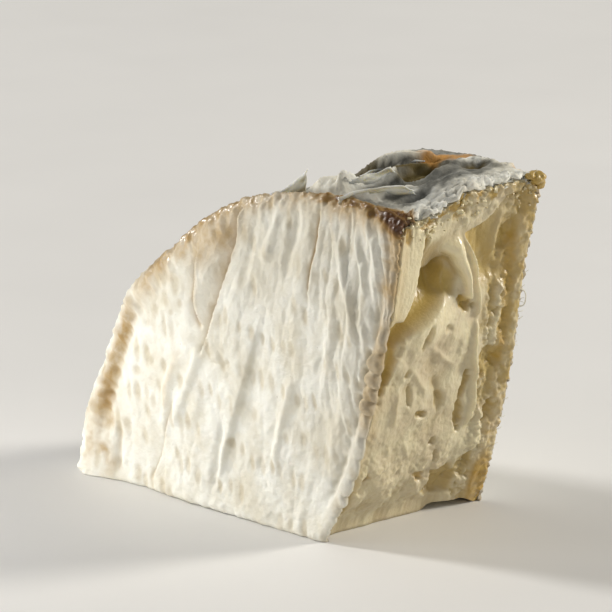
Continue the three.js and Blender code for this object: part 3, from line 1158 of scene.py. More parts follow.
def paste_material(look):
    f = Finish("ivory_paste")
    f.lay(look.paste_ivory)
    f.lay(look.paste_buff, f.stretch(f.mottle(190, 1.8), 0.3, 0.8))
    # painted highlight on the crests of the cut, and pale crumbs
    f.lay(look.paste_light, f.times(f.mask("crest"), f.stretch(f.mottle(700, 1.5), 0.1, 0.8, 0.5, 1.0)))
    f.lay(look.paste_shade, f.times(f.mask("sunk"), 0.85))
    ripe = f.mask("ripe", 0.0, 0.8)
    f.lay(look.rind_line_ochre, f.times(ripe, f.stretch(f.mottle(420, 1.8), 0.1, 0.8, 0.6, 1.0)))
    f.lay(look.pocket_olive, f.mask("deep"))
    gloss = f.mask("gloss")
    # painted highlight on the glossy tongue and its shoulder
    f.lay(look.paste_light, f.times(gloss, 0.85))
    roughness = f.stretch(gloss, 0.0, 1.0, 0.38, 0.10)
    f.grain(2200, 700, 0.4, 0.75, 0.0003)
    return f.done(roughness, 0.14, (0.9, 0.72, 0.36), 0.0009, coat=f.stretch(gloss, 0.0, 1.0, 0.30, 0.90))


def skin_material(look):
    f = Finish("torn_skin")
    f.lay(look.rind_white)
    # painted shade: grey on the flaps, most towards their base
    f.lay(look.rim_shade_grey, f.times(f.mask("grey"), f.stretch(f.mottle(350, 2.2), 0.1, 0.8, 0.4, 1.0)))
    # olive low on the flaps, partly their own colour and partly painted shade
    f.lay(look.hollow_olive_and_shade, f.times(f.mask("olive"), f.stretch(f.mottle(500, 1.6), 0.1, 0.8, 0.6, 1.0)))
    f.lay(look.stain_orange, f.mask("orange"))
    roughness = f.stretch(f.mottle(600, 1.5), 0.2, 0.8, 0.45, 0.75)
    f.grain(2600, 900, 0.5, 0.5, 0.0003)
    return f.done(roughness, 0.4, (1.0, 0.8, 0.45), 0.0016)


def fibre_material(look):
    f = Finish("fibre_white")
    f.lay(look.rind_white)
    f.lay(look.rind_cream, f.stretch(f.mottle(900, 1.6), 0.3, 0.7))
    return f.done(f.stretch(f.mottle(900, 1.0), 0.2, 0.8, 0.6, 0.8), 0.0, (1, 1, 1), 0.001)


def material(name, maker):
    """The finish of that name, made the first time it is asked for."""
    return bpy.data.materials.get(name) or maker(bpy.context.scene.cheese_look)


# ---------------------------------------------------------------------------
# Pieces
# ---------------------------------------------------------------------------
def front_mask(form):
    """1 on the front face, falling to 0 over the shoulder."""
    return smooth(0.15, 0.75, -form["out_y"])


def back_mask(form):
    """1 on the back face, falling to 0 over the shoulder."""
    return smooth(0.15, 0.75, form["out_y"])


def face_coordinates(form):
    """Right and up from the wheel's axis, seen from the front."""
    a = np.radians(form["angle"])
    return form["r"] * np.cos(a), form["r"] * np.sin(a)


def distance_to_cut(form):
    """How far a point of the rind lies from the end cut and from the bottom cut."""
    arc = np.radians(HALF_SPAN) * RADIUS
    return form["p"] * arc, form["q"] * arc


def rim_distance(form):
    """How far round the rim a point lies from the end cut."""
    return np.radians(form["angle"] - CUT_ANGLE) * RADIUS


# Middle up the end cut, half length and size of each knob, from the top down.
KNOBS = (
    (41.0, 2.2, 0.30),
    (37.6, 1.6, 0.40),
    (34.4, 2.0, 0.55),
    (31.0, 1.45, 1.0),
    (28.4, 1.30, 1.0),
    (26.2, 1.10, 0.80),
    (24.2, 1.20, 0.95),
    (21.0, 2.2, 0.55),
    (16.8, 2.1, 0.55),
    (13.2, 1.8, 0.60),
    (10.0, 1.6, 0.60),
    (6.8, 1.7, 0.75),
    (3.4, 1.8, 0.60),
)


def front_knobs(r):
    """The pinched knobs of the front rind along the end cut, from 0 to 1."""
    found = np.zeros(np.shape(r))
    for middle, half, size in KNOBS:
        found = np.maximum(found, size * np.sqrt(np.clip(1 - ((r - middle) / half) ** 2, 0, 1)))
    return found


def lip_lobes(along, across, seed):
    """Uneven beads along a cut edge of the rind, from 0 to 1."""
    wander = along + 0.8 * bumps(3.1, along, along * 0, seed=seed)
    beads = np.abs(np.sin(math.pi * wander / 2.7)) ** 0.5
    size = 0.62 + 0.75 * bumps(3.3, along, along * 0, seed=seed + 1)
    knobs = 0.45 * np.clip(bumps(1.25, along, across * 0.6, seed=seed + 2), 0, 1)
    return beads * np.clip(size, 0.2, 1.0) + knobs


class Places:
    """Where each point of the rind lies: on the front, round the rim and from the cuts."""

    def __init__(self, form):
        self.u, self.v = face_coordinates(form)
        self.y = form["y"]
        self.r = form["r"]
        self.s = rim_distance(form)
        self.front = front_mask(form)
        self.back = back_mask(form)
        self.rim = np.clip(1 - self.front - self.back, 0, 1)
        self.outward = form["out_r"]
        self.from_end, self.from_foot = distance_to_cut(form)


def folds_everywhere(at, rim_height, marks):
    """Height of the folds, the sunk rim, the fuzz and the mat marks."""
    y, s, r = at.y, at.s, at.r
    lift = at.front * front_folds(at.u, at.v) * smooth(0, 3, at.from_foot + 1.5)
    lift = lift + at.back * plain_folds(at.u, at.v, 101)
    fuzz = 0.16 * (np.abs(rough(0.8, y, s, seed=135, layers=2)) - 0.2)
    fuzz = fuzz + 0.06 * rough(0.45, y, s, seed=137)
    fuzz = fuzz * smooth(-14, -12, y) * smooth(40, 24, s)
    lift = lift + at.rim * (rim_height + rim_slump(y, s) + fuzz)
    edge_zone = smooth(RADIUS - 7, RADIUS - 3, r) * smooth(-10, -13.5, y)
    lift = lift + edge_zone * (0.30 * rough(1.4, y * 1.2, s, seed=131) + 0.1)
    shoulder = at.rim * smooth(0.1, 0.5, at.outward) * smooth(-6, -12, y)
    lift = lift + shoulder * 0.10 * rough(0.6, y, s, seed=133, layers=2)
    return lift - 0.10 * marks


class EndLip:
    """The rind's edge along the end cut: a dip, then beads that roll over the cut."""

    def __init__(self, at, size):
        y, r, s, from_end = at.y, at.r, at.s, at.from_end
        along = np.where(at.rim > 0.5, 60 + y, r)
        uneven = lip_lobes(along, from_end, 141)
        knobs = front_knobs(r + 0.4 * bumps(2.0, y, r, seed=143))
        loose = np.clip(0.40 + 1.3 * rough(2.0, y, s, seed=149), 0, 1.3)
        self.lobes = mix(mix(uneven, knobs, at.front), loose, at.rim)
        self.strong = at.front * smooth(3, 10, r) * smooth(44, 38, r)
        self.high_edge = at.front * smooth(36, 42, r)
        self.depth = from_end - 0.9 * (self.lobes - 0.5) * self.strong
        full = 1 - 0.75 * smooth(4, 13, y)
        dip = 0.60 * np.exp(-(((self.depth - 2.1) / 0.6) ** 2)) * self.strong * (0.3 + self.lobes)
        beaded = self.strong * (0.35 + 0.65 * smooth(14, 22, r))
        round_top = np.sqrt(np.clip(1 - ((self.depth - 0.4) / 1.15) ** 2, 0, 1))
        bead = round_top * (1.9 * self.lobes - 0.35) * beaded
        plain = np.exp(-((from_end / 1.5) ** 2)) * (0.1 + 0.4 * self.lobes)
        plain = plain * (1 - self.strong) * full * (1 - 0.6 * at.back)
        bead = bead + plain * (1 - 0.9 * self.high_edge)
        self.lift = bead - dip - 0.9 * rolled_edge(from_end, size.lip_width * full)
        ragged = 0.40 * rough(0.9, y, r, seed=145) + 0.7 * at.rim * rough(2.6, y, s, seed=146)
        over = 0.10 * self.high_edge
        over = over + size.lip_reach * (1.3 * self.lobes - 0.3) * self.strong
        over = over + ragged * (1 - 0.7 * self.strong)
        self.over = np.exp(-((from_end / 1.3) ** 2)) * over

    def shade(self, at):
        """How tan the lip is: painted shade in its crease and on its pinched beads, and a tan band high
        on the edge.
        """
        pinched = smooth(17, 23, at.r) * smooth(42, 34, at.r)
        crease = np.exp(-(((self.depth - 1.75) / 0.35) ** 2)) * pinched
        on_lip = smooth(2.0, 1.5, self.depth)
        shade = on_lip * (0.10 + 0.62 * pinched)
        shade = shade + pinched * on_lip * 0.25 * smooth(0.5, 0.1, self.lobes)
        shade = np.maximum(shade, 0.80 * crease) * self.strong
        buff = smooth(3.6, 1.0, at.from_end + 0.8 * rough(1.6, at.y, at.r, seed=147))
        return np.maximum(shade, 0.75 * buff * self.high_edge)


def rolled_edge(away, radius):
    """How far an edge of that radius has rounded off, by the distance from it."""
    depth = np.clip(1 - away / radius, 0, 1)
    return radius * (1 - np.sqrt(np.clip(1 - depth**2, 0, 1)))


def paint_tan(block, at, tan, lip_shade, high_edge, facing):
    """Tan of the shoulder, the back's edge and the far rim, with painted shade in tan on the lip and
    along the front's folds.
    """
    # painted shade in tan on the lip
    tan = np.maximum(tan * facing, mix(0.75, 1.0, high_edge) * lip_shade)
    hidden = at.back * smooth(RADIUS - 9, RADIUS - 2, at.r)
    hidden = hidden * (0.35 + 0.4 * rough(3, at.u, at.v, seed=161))
    tan = np.maximum(tan, np.clip(hidden, 0, 1))
    far_rim = at.rim * smooth(30, 45, at.s) * (0.14 + 0.34 * rough(2.6, at.y, at.s, seed=165))
    tan = np.maximum(tan, np.clip(far_rim, 0, 1) * (1 - at.front))
    tan = np.maximum(tan, 0.45 * at.back * smooth(1.0, 0.2, at.from_end))
    paint(block, "tan", tan)


def paint_rind(block, at, lip, lift, rim_height, marks):
    """Paints every mask that the white rind's finish reads."""
    tan, soak_and_crease_shade, wet = front_stains_and_shade(at.u, at.v, at.r)
    grey, olive, orange = rim_stains_and_shade(at.y, at.s, rim_height)
    facing = np.clip(at.front + at.rim * smooth(-12, -14.6, at.y), 0, 1)
    lip_shade = lip.shade(at)
    paint_tan(block, at, tan, lip_shade, lip.high_edge, facing)
    corner = at.rim * patch(at.y, at.s, (-13.6, 2.0), (3.0, 3.6), 0, 0.5, 0.3, 15)
    # wet brown stains and the rim's wet corner, with darker painted shade along the front's creases
    paint(block, "soak_and_crease_shade", np.maximum(np.clip(1.3 * soak_and_crease_shade, 0, 1) * facing, corner))
    paint(block, "wet", np.maximum(wet * facing, corner))
    paint(block, "mark", marks)
    # painted shade: grey on the rim's low skin, less of it on raised skin and at the cut's edge
    raised_less_shaded = 1 - 0.65 * smooth(0.5, 1.4, rim_height)
    grey = np.clip(at.rim * grey * smooth(-14.6, -12.4, at.y) * 1.5, 0, 1)
    paint(block, "grey", grey * raised_less_shaded * smooth(0.2, 1.0, at.from_end))
    paint(block, "olive", at.rim * olive)
    paint(block, "orange", at.rim * orange)
    # painted shade on the front: in the fold valleys, over its upper part, which also has a thinner,
    # greyer bloom, over its right part and on the lip
    folded = lift - at.front * front_sag(at.v)
    thin = 0.42 * smooth(24, 46, at.v + 2.0 * rough(6, at.u, at.v, seed=167))
    thin = np.maximum(thin, 0.40 * smooth(-9, 5, at.u) * smooth(0, 16, at.v))
    thin = np.maximum(thin, 1.1 * lip_shade * (1 - lip.high_edge))
    paint(block, "sunk", at.front * np.maximum(smooth(0.0, -0.9, folded), thin))


def build_rind(size):
    """The skin over the front, the rim and the back, with its edges at the two cuts."""
    block = sliced_block("rind", RIND_SLICES)
    remove_faces(block, lambda face: face.normal.x > 0.9 or face.normal.z < -0.9)
    form = wedge_form(points_of(block), 0.0)
    at = Places(form)
    marks = mat_marks(at.u, at.v) * (at.front + 0.7 * at.back)
    rim_height = rim_folds(at.y, at.s)
    lip = EndLip(at, size)
    lift = folds_everywhere(at, rim_height, marks) + lip.lift
    # foot edge: smaller beads, pressed flat by the weight
    foot_beads = 0.35 * lip_lobes(at.u + 90, at.from_foot, 151)
    lift = lift + np.exp(-((at.from_foot / 1.2) ** 2)) * foot_beads
    lift = lift - 0.6 * rolled_edge(at.from_foot, size.lip_width)
    x, y, z = to_space(form, lift, lip.over)
    # the bottom left corner flares out and curls a little
    flare = np.exp(-(((at.u + 54) / 7) ** 2)) * np.exp(-np.maximum(z, 0) / 10)
    y = y - 2.2 * flare * at.front
    move_points(block, (x + AXIS_X) * MM, y * MM, np.maximum(z, 0.0) * MM)
    paint_rind(block, at, lip, lift, rim_height, marks)
    mark_inside(block, at.back > 0.5)
    apply_modifier(
        block,
        "SOLIDIFY",
        thickness=size.rind_thickness * MM,
        offset=-1,
        shell_vertex_group=INSIDE,
    )
    thin_inside(block, RIND_INSIDE_KEPT)
    cells = points_of(block)
    move_points(block, cells[:, 0], cells[:, 1], np.maximum(cells[:, 2], 0.0))
    return block


def mark_inside(block, hidden):
    """Groups the points of the back and of hidden surfaces, where fewer faces will do."""
    group = block.vertex_groups.new(name=INSIDE)
    group.add(np.nonzero(hidden)[0].tolist(), 1.0, "REPLACE")


def thin_inside(block, ratio):
    """Keeps only that share of the faces at the grouped points."""
    apply_modifier(
        block,
        "DECIMATE",
        decimate_type="COLLAPSE",
        ratio=ratio,
        vertex_group=INSIDE,
        vertex_group_factor=1.0,
    )


def build_paste(size):
    """The body of the cheese: the torn end cut, the ripe foot and the hidden sides."""
    block = sliced_block("paste", PASTE_SLICES)
    cells = points_of(block)
    inset = size.rind_thickness * 0.75
    form = wedge_form(cells, inset)
    u, v = face_coordinates(form)
    form["y"] = form["y"] + 0.6 * smooth(7, 14, form["y"])
    y, r = form["y"], form["r"]
    end_face = form["p"] < 1e-9
    foot_face = form["q"] < 1e-9
    cut = cut_relief(y, np.maximum(r, 1.8))
    cut_depth = mix(-0.75, -0.20, smooth(6, 13, y)) + cut.height
    cut_depth = cut_depth - 1.3 * smooth(7, 0, r) * smooth(11, 6, y)
    edge_y = smooth(0, 1.2, HALF_THICK - inset + np.where(y > 0, 0.6, 0) - np.abs(y))
    cut_depth = mix(np.minimum(cut_depth, -0.5), cut_depth, edge_y)
    seam = smooth(-13.2, -14.2, y) * smooth(35, 38, r)
    cut_depth = mix(cut_depth, 0.12 + 0.12 * rough(0.8, y, r, seed=189), seam)
    flush = 0.05 + 0.60 * rough(1.3, y, r, seed=185) + 0.5 * np.abs(bumps(1.0, y, r, seed=187))
    flush = flush * (1 - 0.45 * smooth(11, 13, y) * smooth(RADIUS - 4, RADIUS - 7, r))
    cut_depth = mix(cut_depth, flush, smooth(12.6, 14.6, y) * smooth(-2, 2.5, r))
    top_edge = smooth(RADIUS - 3.4, RADIUS - 1.8, r) * smooth(-14, -12, y)
    cut_depth = mix(cut_depth, flush, 0.8 * top_edge)
    calm_foot = -0.60 - 1.75 * smooth(11, 6, y) + 0.30 * bumps(5.0, y, y * 0, seed=191)
    cut_depth = mix(calm_foot, cut_depth, 0.45 + 0.55 * smooth(0.0, 2.6, r))
    foot_depth = mix(cut_depth, calm_foot, smooth(0, 2, r)) * smooth(7, 0, r)
    over = np.where(end_face, cut_depth, np.where(foot_face, foot_depth, 0.0))
    s = rim_distance(form)
    sunk = rim_slump(y, s) + np.minimum(rim_folds(y, s), 1.5)
    front = front_mask(form)
    rim = np.clip(1 - front - back_mask(form), 0, 1)
    leaned = front_sag(v) - 0.35
    skin_lift = np.where(form["inner"], 0.0, rim * sunk + front * leaned)
    form["r"] = r + np.where(form["inner"], sunk * smooth(RADIUS - 9, RADIUS - 1.0, r), 0.0)
    near_front = smooth(-HALF_THICK + 7, -HALF_THICK + 1.2, y)
    form["y"] = y - np.where(form["inner"], leaned * near_front, 0.0)
    x, across, z = to_space(form, skin_lift, over)
    under = 0.20 + 0.25 * rough(3.0, u, y, seed=171) + 0.15 * rough(1.2, u, y, seed=173)
    dark_gap = 1.1 * patch(u, y, (-1.0, 9.8), (3.0, 3.6), 0, 0.4, 0.1, 3)
    z = np.where(foot_face, np.clip(under, 0.0, 1.6) * smooth(0, -5, u) + dark_gap, z)
    z = np.maximum(z, np.where(end_face, dark_gap, 0.0) + 0.06)
    move_points(block, (x + AXIS_X) * MM, across * MM, z * MM)
    paint_paste(block, cut, end_face, foot_face, HALF_THICK - inset - np.abs(y), RADIUS - r)
    mark_inside(block, ~(end_face | foot_face))
    thin_inside(block, PASTE_INSIDE_KEPT)
    return block


def paint_paste(block, cut, end_face, foot_face, from_sides, from_rim):
    """Paints every mask that the paste's finish reads."""
    near_rind = np.maximum(smooth(3.2, 0.4, from_sides), smooth(3.4, 0.6, from_rim))
    bottom_ripe = foot_face * near_rind * 0.9
    y, r = cut.y, RADIUS - from_rim
    side = smooth(11.0, 14.0, y) * np.clip(0.15 + 0.8 * rough(1.6, y, r, seed=181), 0, 1)
    cut.mark("ripe", 0.7 * side)
    cut.mark("ripe", 0.22 * near_rind)
    cut.mark("deep", 0.5 * side)
    # painted highlight on the ridges, the tongue and the high parts of the cut
    crest = cut.crest + smooth(0.25, 0.9, cut.height) * 0.6
    for name, on_end, elsewhere in (
        ("deep", cut.masks["deep"], 0.0),
        ("ripe", cut.masks["ripe"], bottom_ripe),
        ("gloss", cut.masks["gloss"], 0.0),
        ("crest", crest, 0.3),
        ("sunk", smooth(-0.05, -1.1, cut.height), 0.2),
    ):
        paint(block, name, np.where(end_face, on_end, elsewhere))


def cut_point(y, t, over):
    """A point over the end cut, in metres."""
    a = math.radians(CUT_ANGLE)
    over = over + float(cut_swell(np.array(t), np.array(y)))
    x = AXIS_X + t * math.cos(a) + over * math.sin(a)
    return Vector((x * MM, y * MM, (t * math.sin(a) - over * math.cos(a)) * MM))


def torn_sheet(name, start, end, tall, lean, thick, seed, tip=1.4, curl=0.0):
    """A thin torn flap of skin standing on the rim: low at its start and pointed at its end."""
    deselect_all()
    bpy.ops.mesh.primitive_grid_add(x_subdivisions=70, y_subdivisions=28, size=2)
    flap = bpy.context.active_object
    flap.name = name
    flap.data.name = name
    cells = points_of(flap)
    a = (cells[:, 0] + 1) / 2
    b = (cells[:, 1] + 1) / 2
    ragged = 0.10 * bumps(0.16, a, a * 0, seed=seed)
    height = tall * (0.10 + 0.90 * a**tip) * (1 + ragged)
    # a blunt flap is a fold, which runs out at both its ends
    if tip < 1:
        height = height * smooth(0, 0.2, a) * smooth(1, 0.85, a) * (1 + 2 * ragged)
    y = mix(start[0], end[0], a) + lean * b * b * a + 0.35 * bumps(0.35, a, b, seed=seed + 1)
    s = mix(start[1], end[1], a) + curl * b * b * a**2 + 0.35 * bumps(0.4, a, b, seed=seed + 2)
    r = mix(start[2], end[2], a) - 1.2 + b * (height + 1.2)
    angle = math.radians(CUT_ANGLE) + s / RADIUS
    x = AXIS_X + r * np.cos(angle)
    z = r * np.sin(angle)
    move_points(flap, x * MM, y * MM, z * MM)
    # painted shade: grey most towards the base of the flap, over a random tone, and olive low on it,
    # partly painted shade
    paint(flap, "grey", 0.25 + 0.5 * bumps(0.3, a, b, seed=seed + 3) + 0.3 * (1 - b))
    paint(flap, "olive", smooth(0.62, 0.15, b) * 0.7)
    paint(flap, "orange", a * 0)
    apply_modifier(flap, "SOLIDIFY", thickness=thick * MM, offset=0)
    return flap


def lump(name, place, radii, seed, detail=3, craggy=0.35):
    """A crumb: a ball pressed out of round and roughened."""
    deselect_all()
    bpy.ops.mesh.primitive_ico_sphere_add(subdivisions=detail, radius=1)
    piece = bpy.context.active_object
    piece.name = name
    piece.data.name = name
    cells = points_of(piece)
    swell = 1 + craggy * rough(0.9, cells[:, 0], cells[:, 1], cells[:, 2], seed=seed, layers=2)
    x = place.x + cells[:, 0] * swell * radii[0] * MM
    y = place.y + cells[:, 1] * swell * radii[1] * MM
    z = place.z + cells[:, 2] * swell * radii[2] * MM
    move_points(piece, x, y, z)
    return piece


def join_pieces(pieces, name):
    deselect_all()
    for piece in pieces:
        piece.select_set(True)
    bpy.context.view_layer.objects.active = pieces[0]
    bpy.ops.object.join()
    pieces[0].name = name
    pieces[0].data.name = name
    return pieces[0]


def build_torn_skin():
    """The four flaps: one stands up to a point, and three are low folds."""
    flaps = [
        torn_sheet("curl", (-13.4, 29.6, 52.4), (-10.4, 24.6, 52.8), 2.5, 0.4, 0.24, 201, 2.4, -0.5),
        torn_sheet("fold", (-11.0, 17.0, 52.6), (-1.4, 13.2, 54.2), 1.1, -0.7, 0.26, 211, 0.35),
        torn_sheet("edge", (-13.6, 13.6, 52.2), (-4.4, 6.4, 53.6), 0.8, -0.9, 0.24, 221, 0.4),
        torn_sheet("ledge", (-3.6, 20.0, 53.4), (6.0, 14.4, 55.0), 0.4, -1.2, 0.26, 231, 0.3),
    ]
    return join_pieces(flaps, "torn_skin")


def build_crumbs():
    """Crumbs under the rim and, every seventh one, along the edge of the back rind."""
    crumbs = []
    for n in range(CRUMB_COUNT):
        place = chance(n, 1, seed=301)
        y = mix(-13.5, 15.0, float(place))
        sunk = float(rim_slump(np.array(y), np.array(0.5)))
        t = RADIUS + sunk - 0.4 - 4.2 * float(chance(n, 2, seed=301)) ** 1.2
        over = 0.3 * float(chance(n, 3, seed=301)) - 0.25
        if n % 7 == 0:
            y = 14.8 + 0.8 * float(chance(n, 4, seed=301))
            t = mix(8, RADIUS - 2, float(chance(n, 5, seed=301)))
        size = 0.12 + 0.22 * float(chance(n, 6, seed=301)) ** 2
        radii = [size * (0.5 + 1.2 * float(chance(n, k, seed=303))) for k in (1, 2, 3)]
        crumbs.append(lump("crumb", cut_point(y, t, over), radii, 310 + n % 17, 2, 0.9))
    piece = join_pieces(crumbs, "crumbs")
    count = len(piece.data.vertices)
    tone = chance(np.arange(count // CRUMB_POINTS + 1), seed=305)
    tone = np.repeat(tone, CRUMB_POINTS)[:count]
    for name, value in (
        ("deep", 0 * tone),
        ("ripe", 0.3 * tone),
        ("gloss", 0 * tone),
        ("crest", 0.9 - 0.8 * tone),
        ("sunk", 0 * tone),
    ):
        paint(piece, name, value)
    return piece


def build_corner_lump():
    """The golden lump on the far top corner, as three balls pressed together."""
    parts = [
        lump("corner_lump", cut_point(14.2, 54.9, 0.0), (1.4, 1.2, 1.1), 341, 4, 0.16),
        lump("part", cut_point(14.9, 54.2, 0.1), (0.9, 0.7, 1.2), 342, 4, 0.20),
        lump("part", cut_point(13.0, 55.3, -0.2), (0.9, 0.9, 0.6), 343, 4, 0.20),
    ]
    piece = join_pieces(parts, "corner_lump")
    count = np.zeros(len(piece.data.vertices))
    for name, value in (("deep", 0.5), ("ripe", 1.0), ("gloss", 0), ("crest", 0), ("sunk", 0)):
        paint(piece, name, count + value)
    return piece


def fibre(points, thick):
    """A fine hair along a few points, as a closed tube."""
    line = bpy.data.curves.new("fibre", "CURVE")
    line.dimensions = "3D"
    line.bevel_depth = thick * MM
    line.bevel_resolution = 1
    line.use_fill_caps = True
    spline = line.splines.new("BEZIER")
    spline.bezier_points.add(len(points) - 1)
    for knot, point in zip(spline.bezier_points, points):
        knot.co = point
        knot.handle_left_type = knot.handle_right_type = "AUTO"
    piece = bpy.data.objects.new("fibre", line)
    bpy.context.scene.collection.objects.link(piece)
    activate(piece)
    bpy.ops.object.convert(target="MESH")
    bpy.ops.object.mode_set(mode="EDIT")
    bpy.ops.mesh.select_all(action="SELECT")
    bpy.ops.mesh.remove_doubles(threshold=1e-6)
    bpy.ops.mesh.normals_make_consistent(inside=False)
    bpy.ops.object.mode_set(mode="OBJECT")
    return bpy.context.active_object


def build_fibres():
    """One small loop by the back rind, and short hairs along the back and the rim."""
    fibres = [
        fibre(
            [
                cut_point(15.0, 36.6, -0.2),
                cut_point(15.9, 36.2, 0.3),
                cut_point(16.3, 34.9, 0.4),
                cut_point(15.9, 33.9, 0.3),
                cut_point(15.0, 34.2, -0.2),
            ],
            0.10,
        )
    ]
    for n in range(FIBRE_COUNT):
        share = float(chance(n, 1, seed=351))
        long = 0.5 + 0.7 * float(chance(n, 2, seed=351))
        lean = float(chance(n, 3, seed=351)) - 0.5
        if n % 5 == 0:
            y, t, out_y, out_t = mix(2, 14, share), RADIUS + 0.2, 0.2, long
        else:
            y, t, out_y, out_t = 15.3, mix(6, RADIUS - 3, share), long, lean
        root = cut_point(y, t, 0.0)
        middle = cut_point(y + 0.6 * out_y, t + 0.4 * out_t, 0.2)
        tip = cut_point(y + out_y, t + out_t, 0.1 + 0.4 * lean)
        fibres.append(fibre([root, middle, tip], 0.05))
    return join_pieces(fibres, "fibres")


# ---------------------------------------------------------------------------
# Operators: one for each group of pieces, and one for the stage
# ---------------------------------------------------------------------------
class CHEESE_OT_torn_skin(bpy.types.Operator):
    """Models the torn flaps of skin that stand on the rim"""

    bl_idname = "cheese.torn_skin"
    bl_label = "Torn rim skin"

    def execute(self, context):
        finish_piece(build_torn_skin(), material("torn_skin", skin_material))
        return {"FINISHED"}


class CHEESE_OT_crumbs(bpy.types.Operator):
    """Models the crumbs along the cut, the tan lump on the corner and the loose fibres"""

    bl_idname = "cheese.crumbs"
    bl_label = "Crumbs and fibres"

    def execute(self, context):
        finish_piece(build_crumbs(), material("ivory_paste", paste_material))
        finish_piece(build_corner_lump(), material("ivory_paste", paste_material))
        finish_piece(build_fibres(), material("fibre_white", fibre_material))
        return {"FINISHED"}


class CHEESE_OT_paste(bpy.types.Operator):
    """Models the ivory paste with its torn end cut, pockets and smeared tongue"""

    bl_idname = "cheese.paste"
    bl_label = "Paste"

    def execute(self, context):
        piece = build_paste(context.scene.cheese_sizes)
        finish_piece(piece, material("ivory_paste", paste_material))
        return {"FINISHED"}


class CHEESE_OT_rind(bpy.types.Operator):
    """Models the folded white rind over the front, the rim and the back"""

    bl_idname = "cheese.rind"
    bl_label = "Rind"

    def execute(self, context):
        piece = build_rind(context.scene.cheese_sizes)
        finish_piece(piece, material("white_rind", rind_material))
        return {"FINISHED"}


class CHEESE_OT_stage(bpy.types.Operator):
    """Sets the pale floor, the soft lights and the camera"""

    bl_idname = "cheese.stage"
    bl_label = "Floor, lights and camera"

    def execute(self, context):
        look = context.scene.cheese_look
        deselect_all()
        bpy.ops.mesh.primitive_plane_add(size=6)
        floor = context.active_object
        floor.name = "floor"
        f = Finish("pale_floor")
        f.lay(look.floor_pale)
        f.lay(tuple(0.92 * c for c in look.floor_pale), f.stretch(f.mottle(3, 1.0), 0.3, 0.7))
        f.done(f.stretch(f.mottle(40, 1.0), 0.2, 0.8, 0.55, 0.65), 0.0, (1, 1, 1), 0.01)
        floor.data.materials.append(f.material)

        world = bpy.data.worlds.new("soft_room")
        context.scene.world = world
        world.use_nodes = True
        backdrop = world.node_tree.nodes["Background"]
        backdrop.inputs["Color"].default_value = (0.82, 0.81, 0.79, 1)
        backdrop.inputs["Strength"].default_value = 0.24

        aim = Vector(((HIGH.x + LOW.x) / 2, 0, 0.5 * HIGH.z))
        low_left = Vector(((AXIS_X - 24) * MM, -15 * MM, 6 * MM))
        for lamp in (
            ("key_left", low_left, -33, 5, 0.115, 0.05, 0.076, LAMP_WHITE),
            ("high_left", aim, -66, 34, 1.4, 0.28, 11.5, LAMP_WHITE),
            ("rake_back_right", aim, 148, 26, 1.6, 0.45, 21.0, LAMP_WARM),
            ("fill_front", aim, 50, 22, 1.8, 0.9, 3.0, LAMP_COOL),
        ):
            add_light(*lamp)
        add_camera()
        context.scene.view_settings.view_transform = "Standard"
        return {"FINISHED"}


def direction(azimuth, elevation):
    """From the object towards something at that place round it."""
    a, e = math.radians(azimuth), math.radians(elevation)
    return Vector((math.sin(a) * math.cos(e), -math.cos(a) * math.cos(e), math.sin(e)))


def add_light(name, aim, azimuth, elevation, distance, wide, power, tint):
    data = bpy.data.lights.new(name, "AREA")
    data.shape = "DISK"
    data.size = wide
    data.energy = power
    data.color = tint
    lamp = bpy.data.objects.new(name, data)
    bpy.context.scene.collection.objects.link(lamp)
    way = direction(azimuth, elevation)
    lamp.location = aim + way * distance
    lamp.rotation_euler = way.to_track_quat("Z", "Y").to_euler()


def add_camera():
    back = direction(CAMERA_AZIMUTH, CAMERA_ELEVATION)
    a = math.radians(CAMERA_AZIMUTH)
    right = Vector((math.cos(a), math.sin(a), 0))
    up = back.cross(right)
    target = Vector(((AXIS_X + AIM_ALONG) * MM, 0, AIM_UP * MM))
    target = target + right * (AIM_SHIFT_RIGHT * MM) + up * (AIM_SHIFT_UP * MM)
    data = bpy.data.cameras.new("camera")
    data.lens = CAMERA_LENS
    data.sensor_width = 36
    data.clip_start = 0.01
    data.clip_end = 20
    camera = bpy.data.objects.new("camera", data)
    bpy.context.scene.collection.objects.link(camera)
    camera.location = target + back * CAMERA_DISTANCE
    camera.rotation_euler = back.to_track_quat("Z", "Y").to_euler()
    bpy.context.scene.camera = camera


# ---------------------------------------------------------------------------
# Settings, panel and registration
# ---------------------------------------------------------------------------
def colour_setting(name, description, value):
    return bpy.props.FloatVectorProperty(
        name=name, description=description, subtype="COLOR", size=3, min=0, max=1, default=value
    )


class CheeseSizes(bpy.types.PropertyGroup):
    """Sizes of the rind, in millimetres"""

    rind_thickness: bpy.props.FloatProperty(
        name="Rind thickness", description="Thickness of the rind, in millimetres", default=1.3
    )
    lip_width: bpy.props.FloatProperty(
        name="Lip roundness", description="Radius of the rolled lip, in millimetres", default=0.9
    )
    lip_reach: bpy.props.FloatProperty(
        name="Lip reach", description="How far the beads hang over the cut, in millimetres", default=1.2
    )


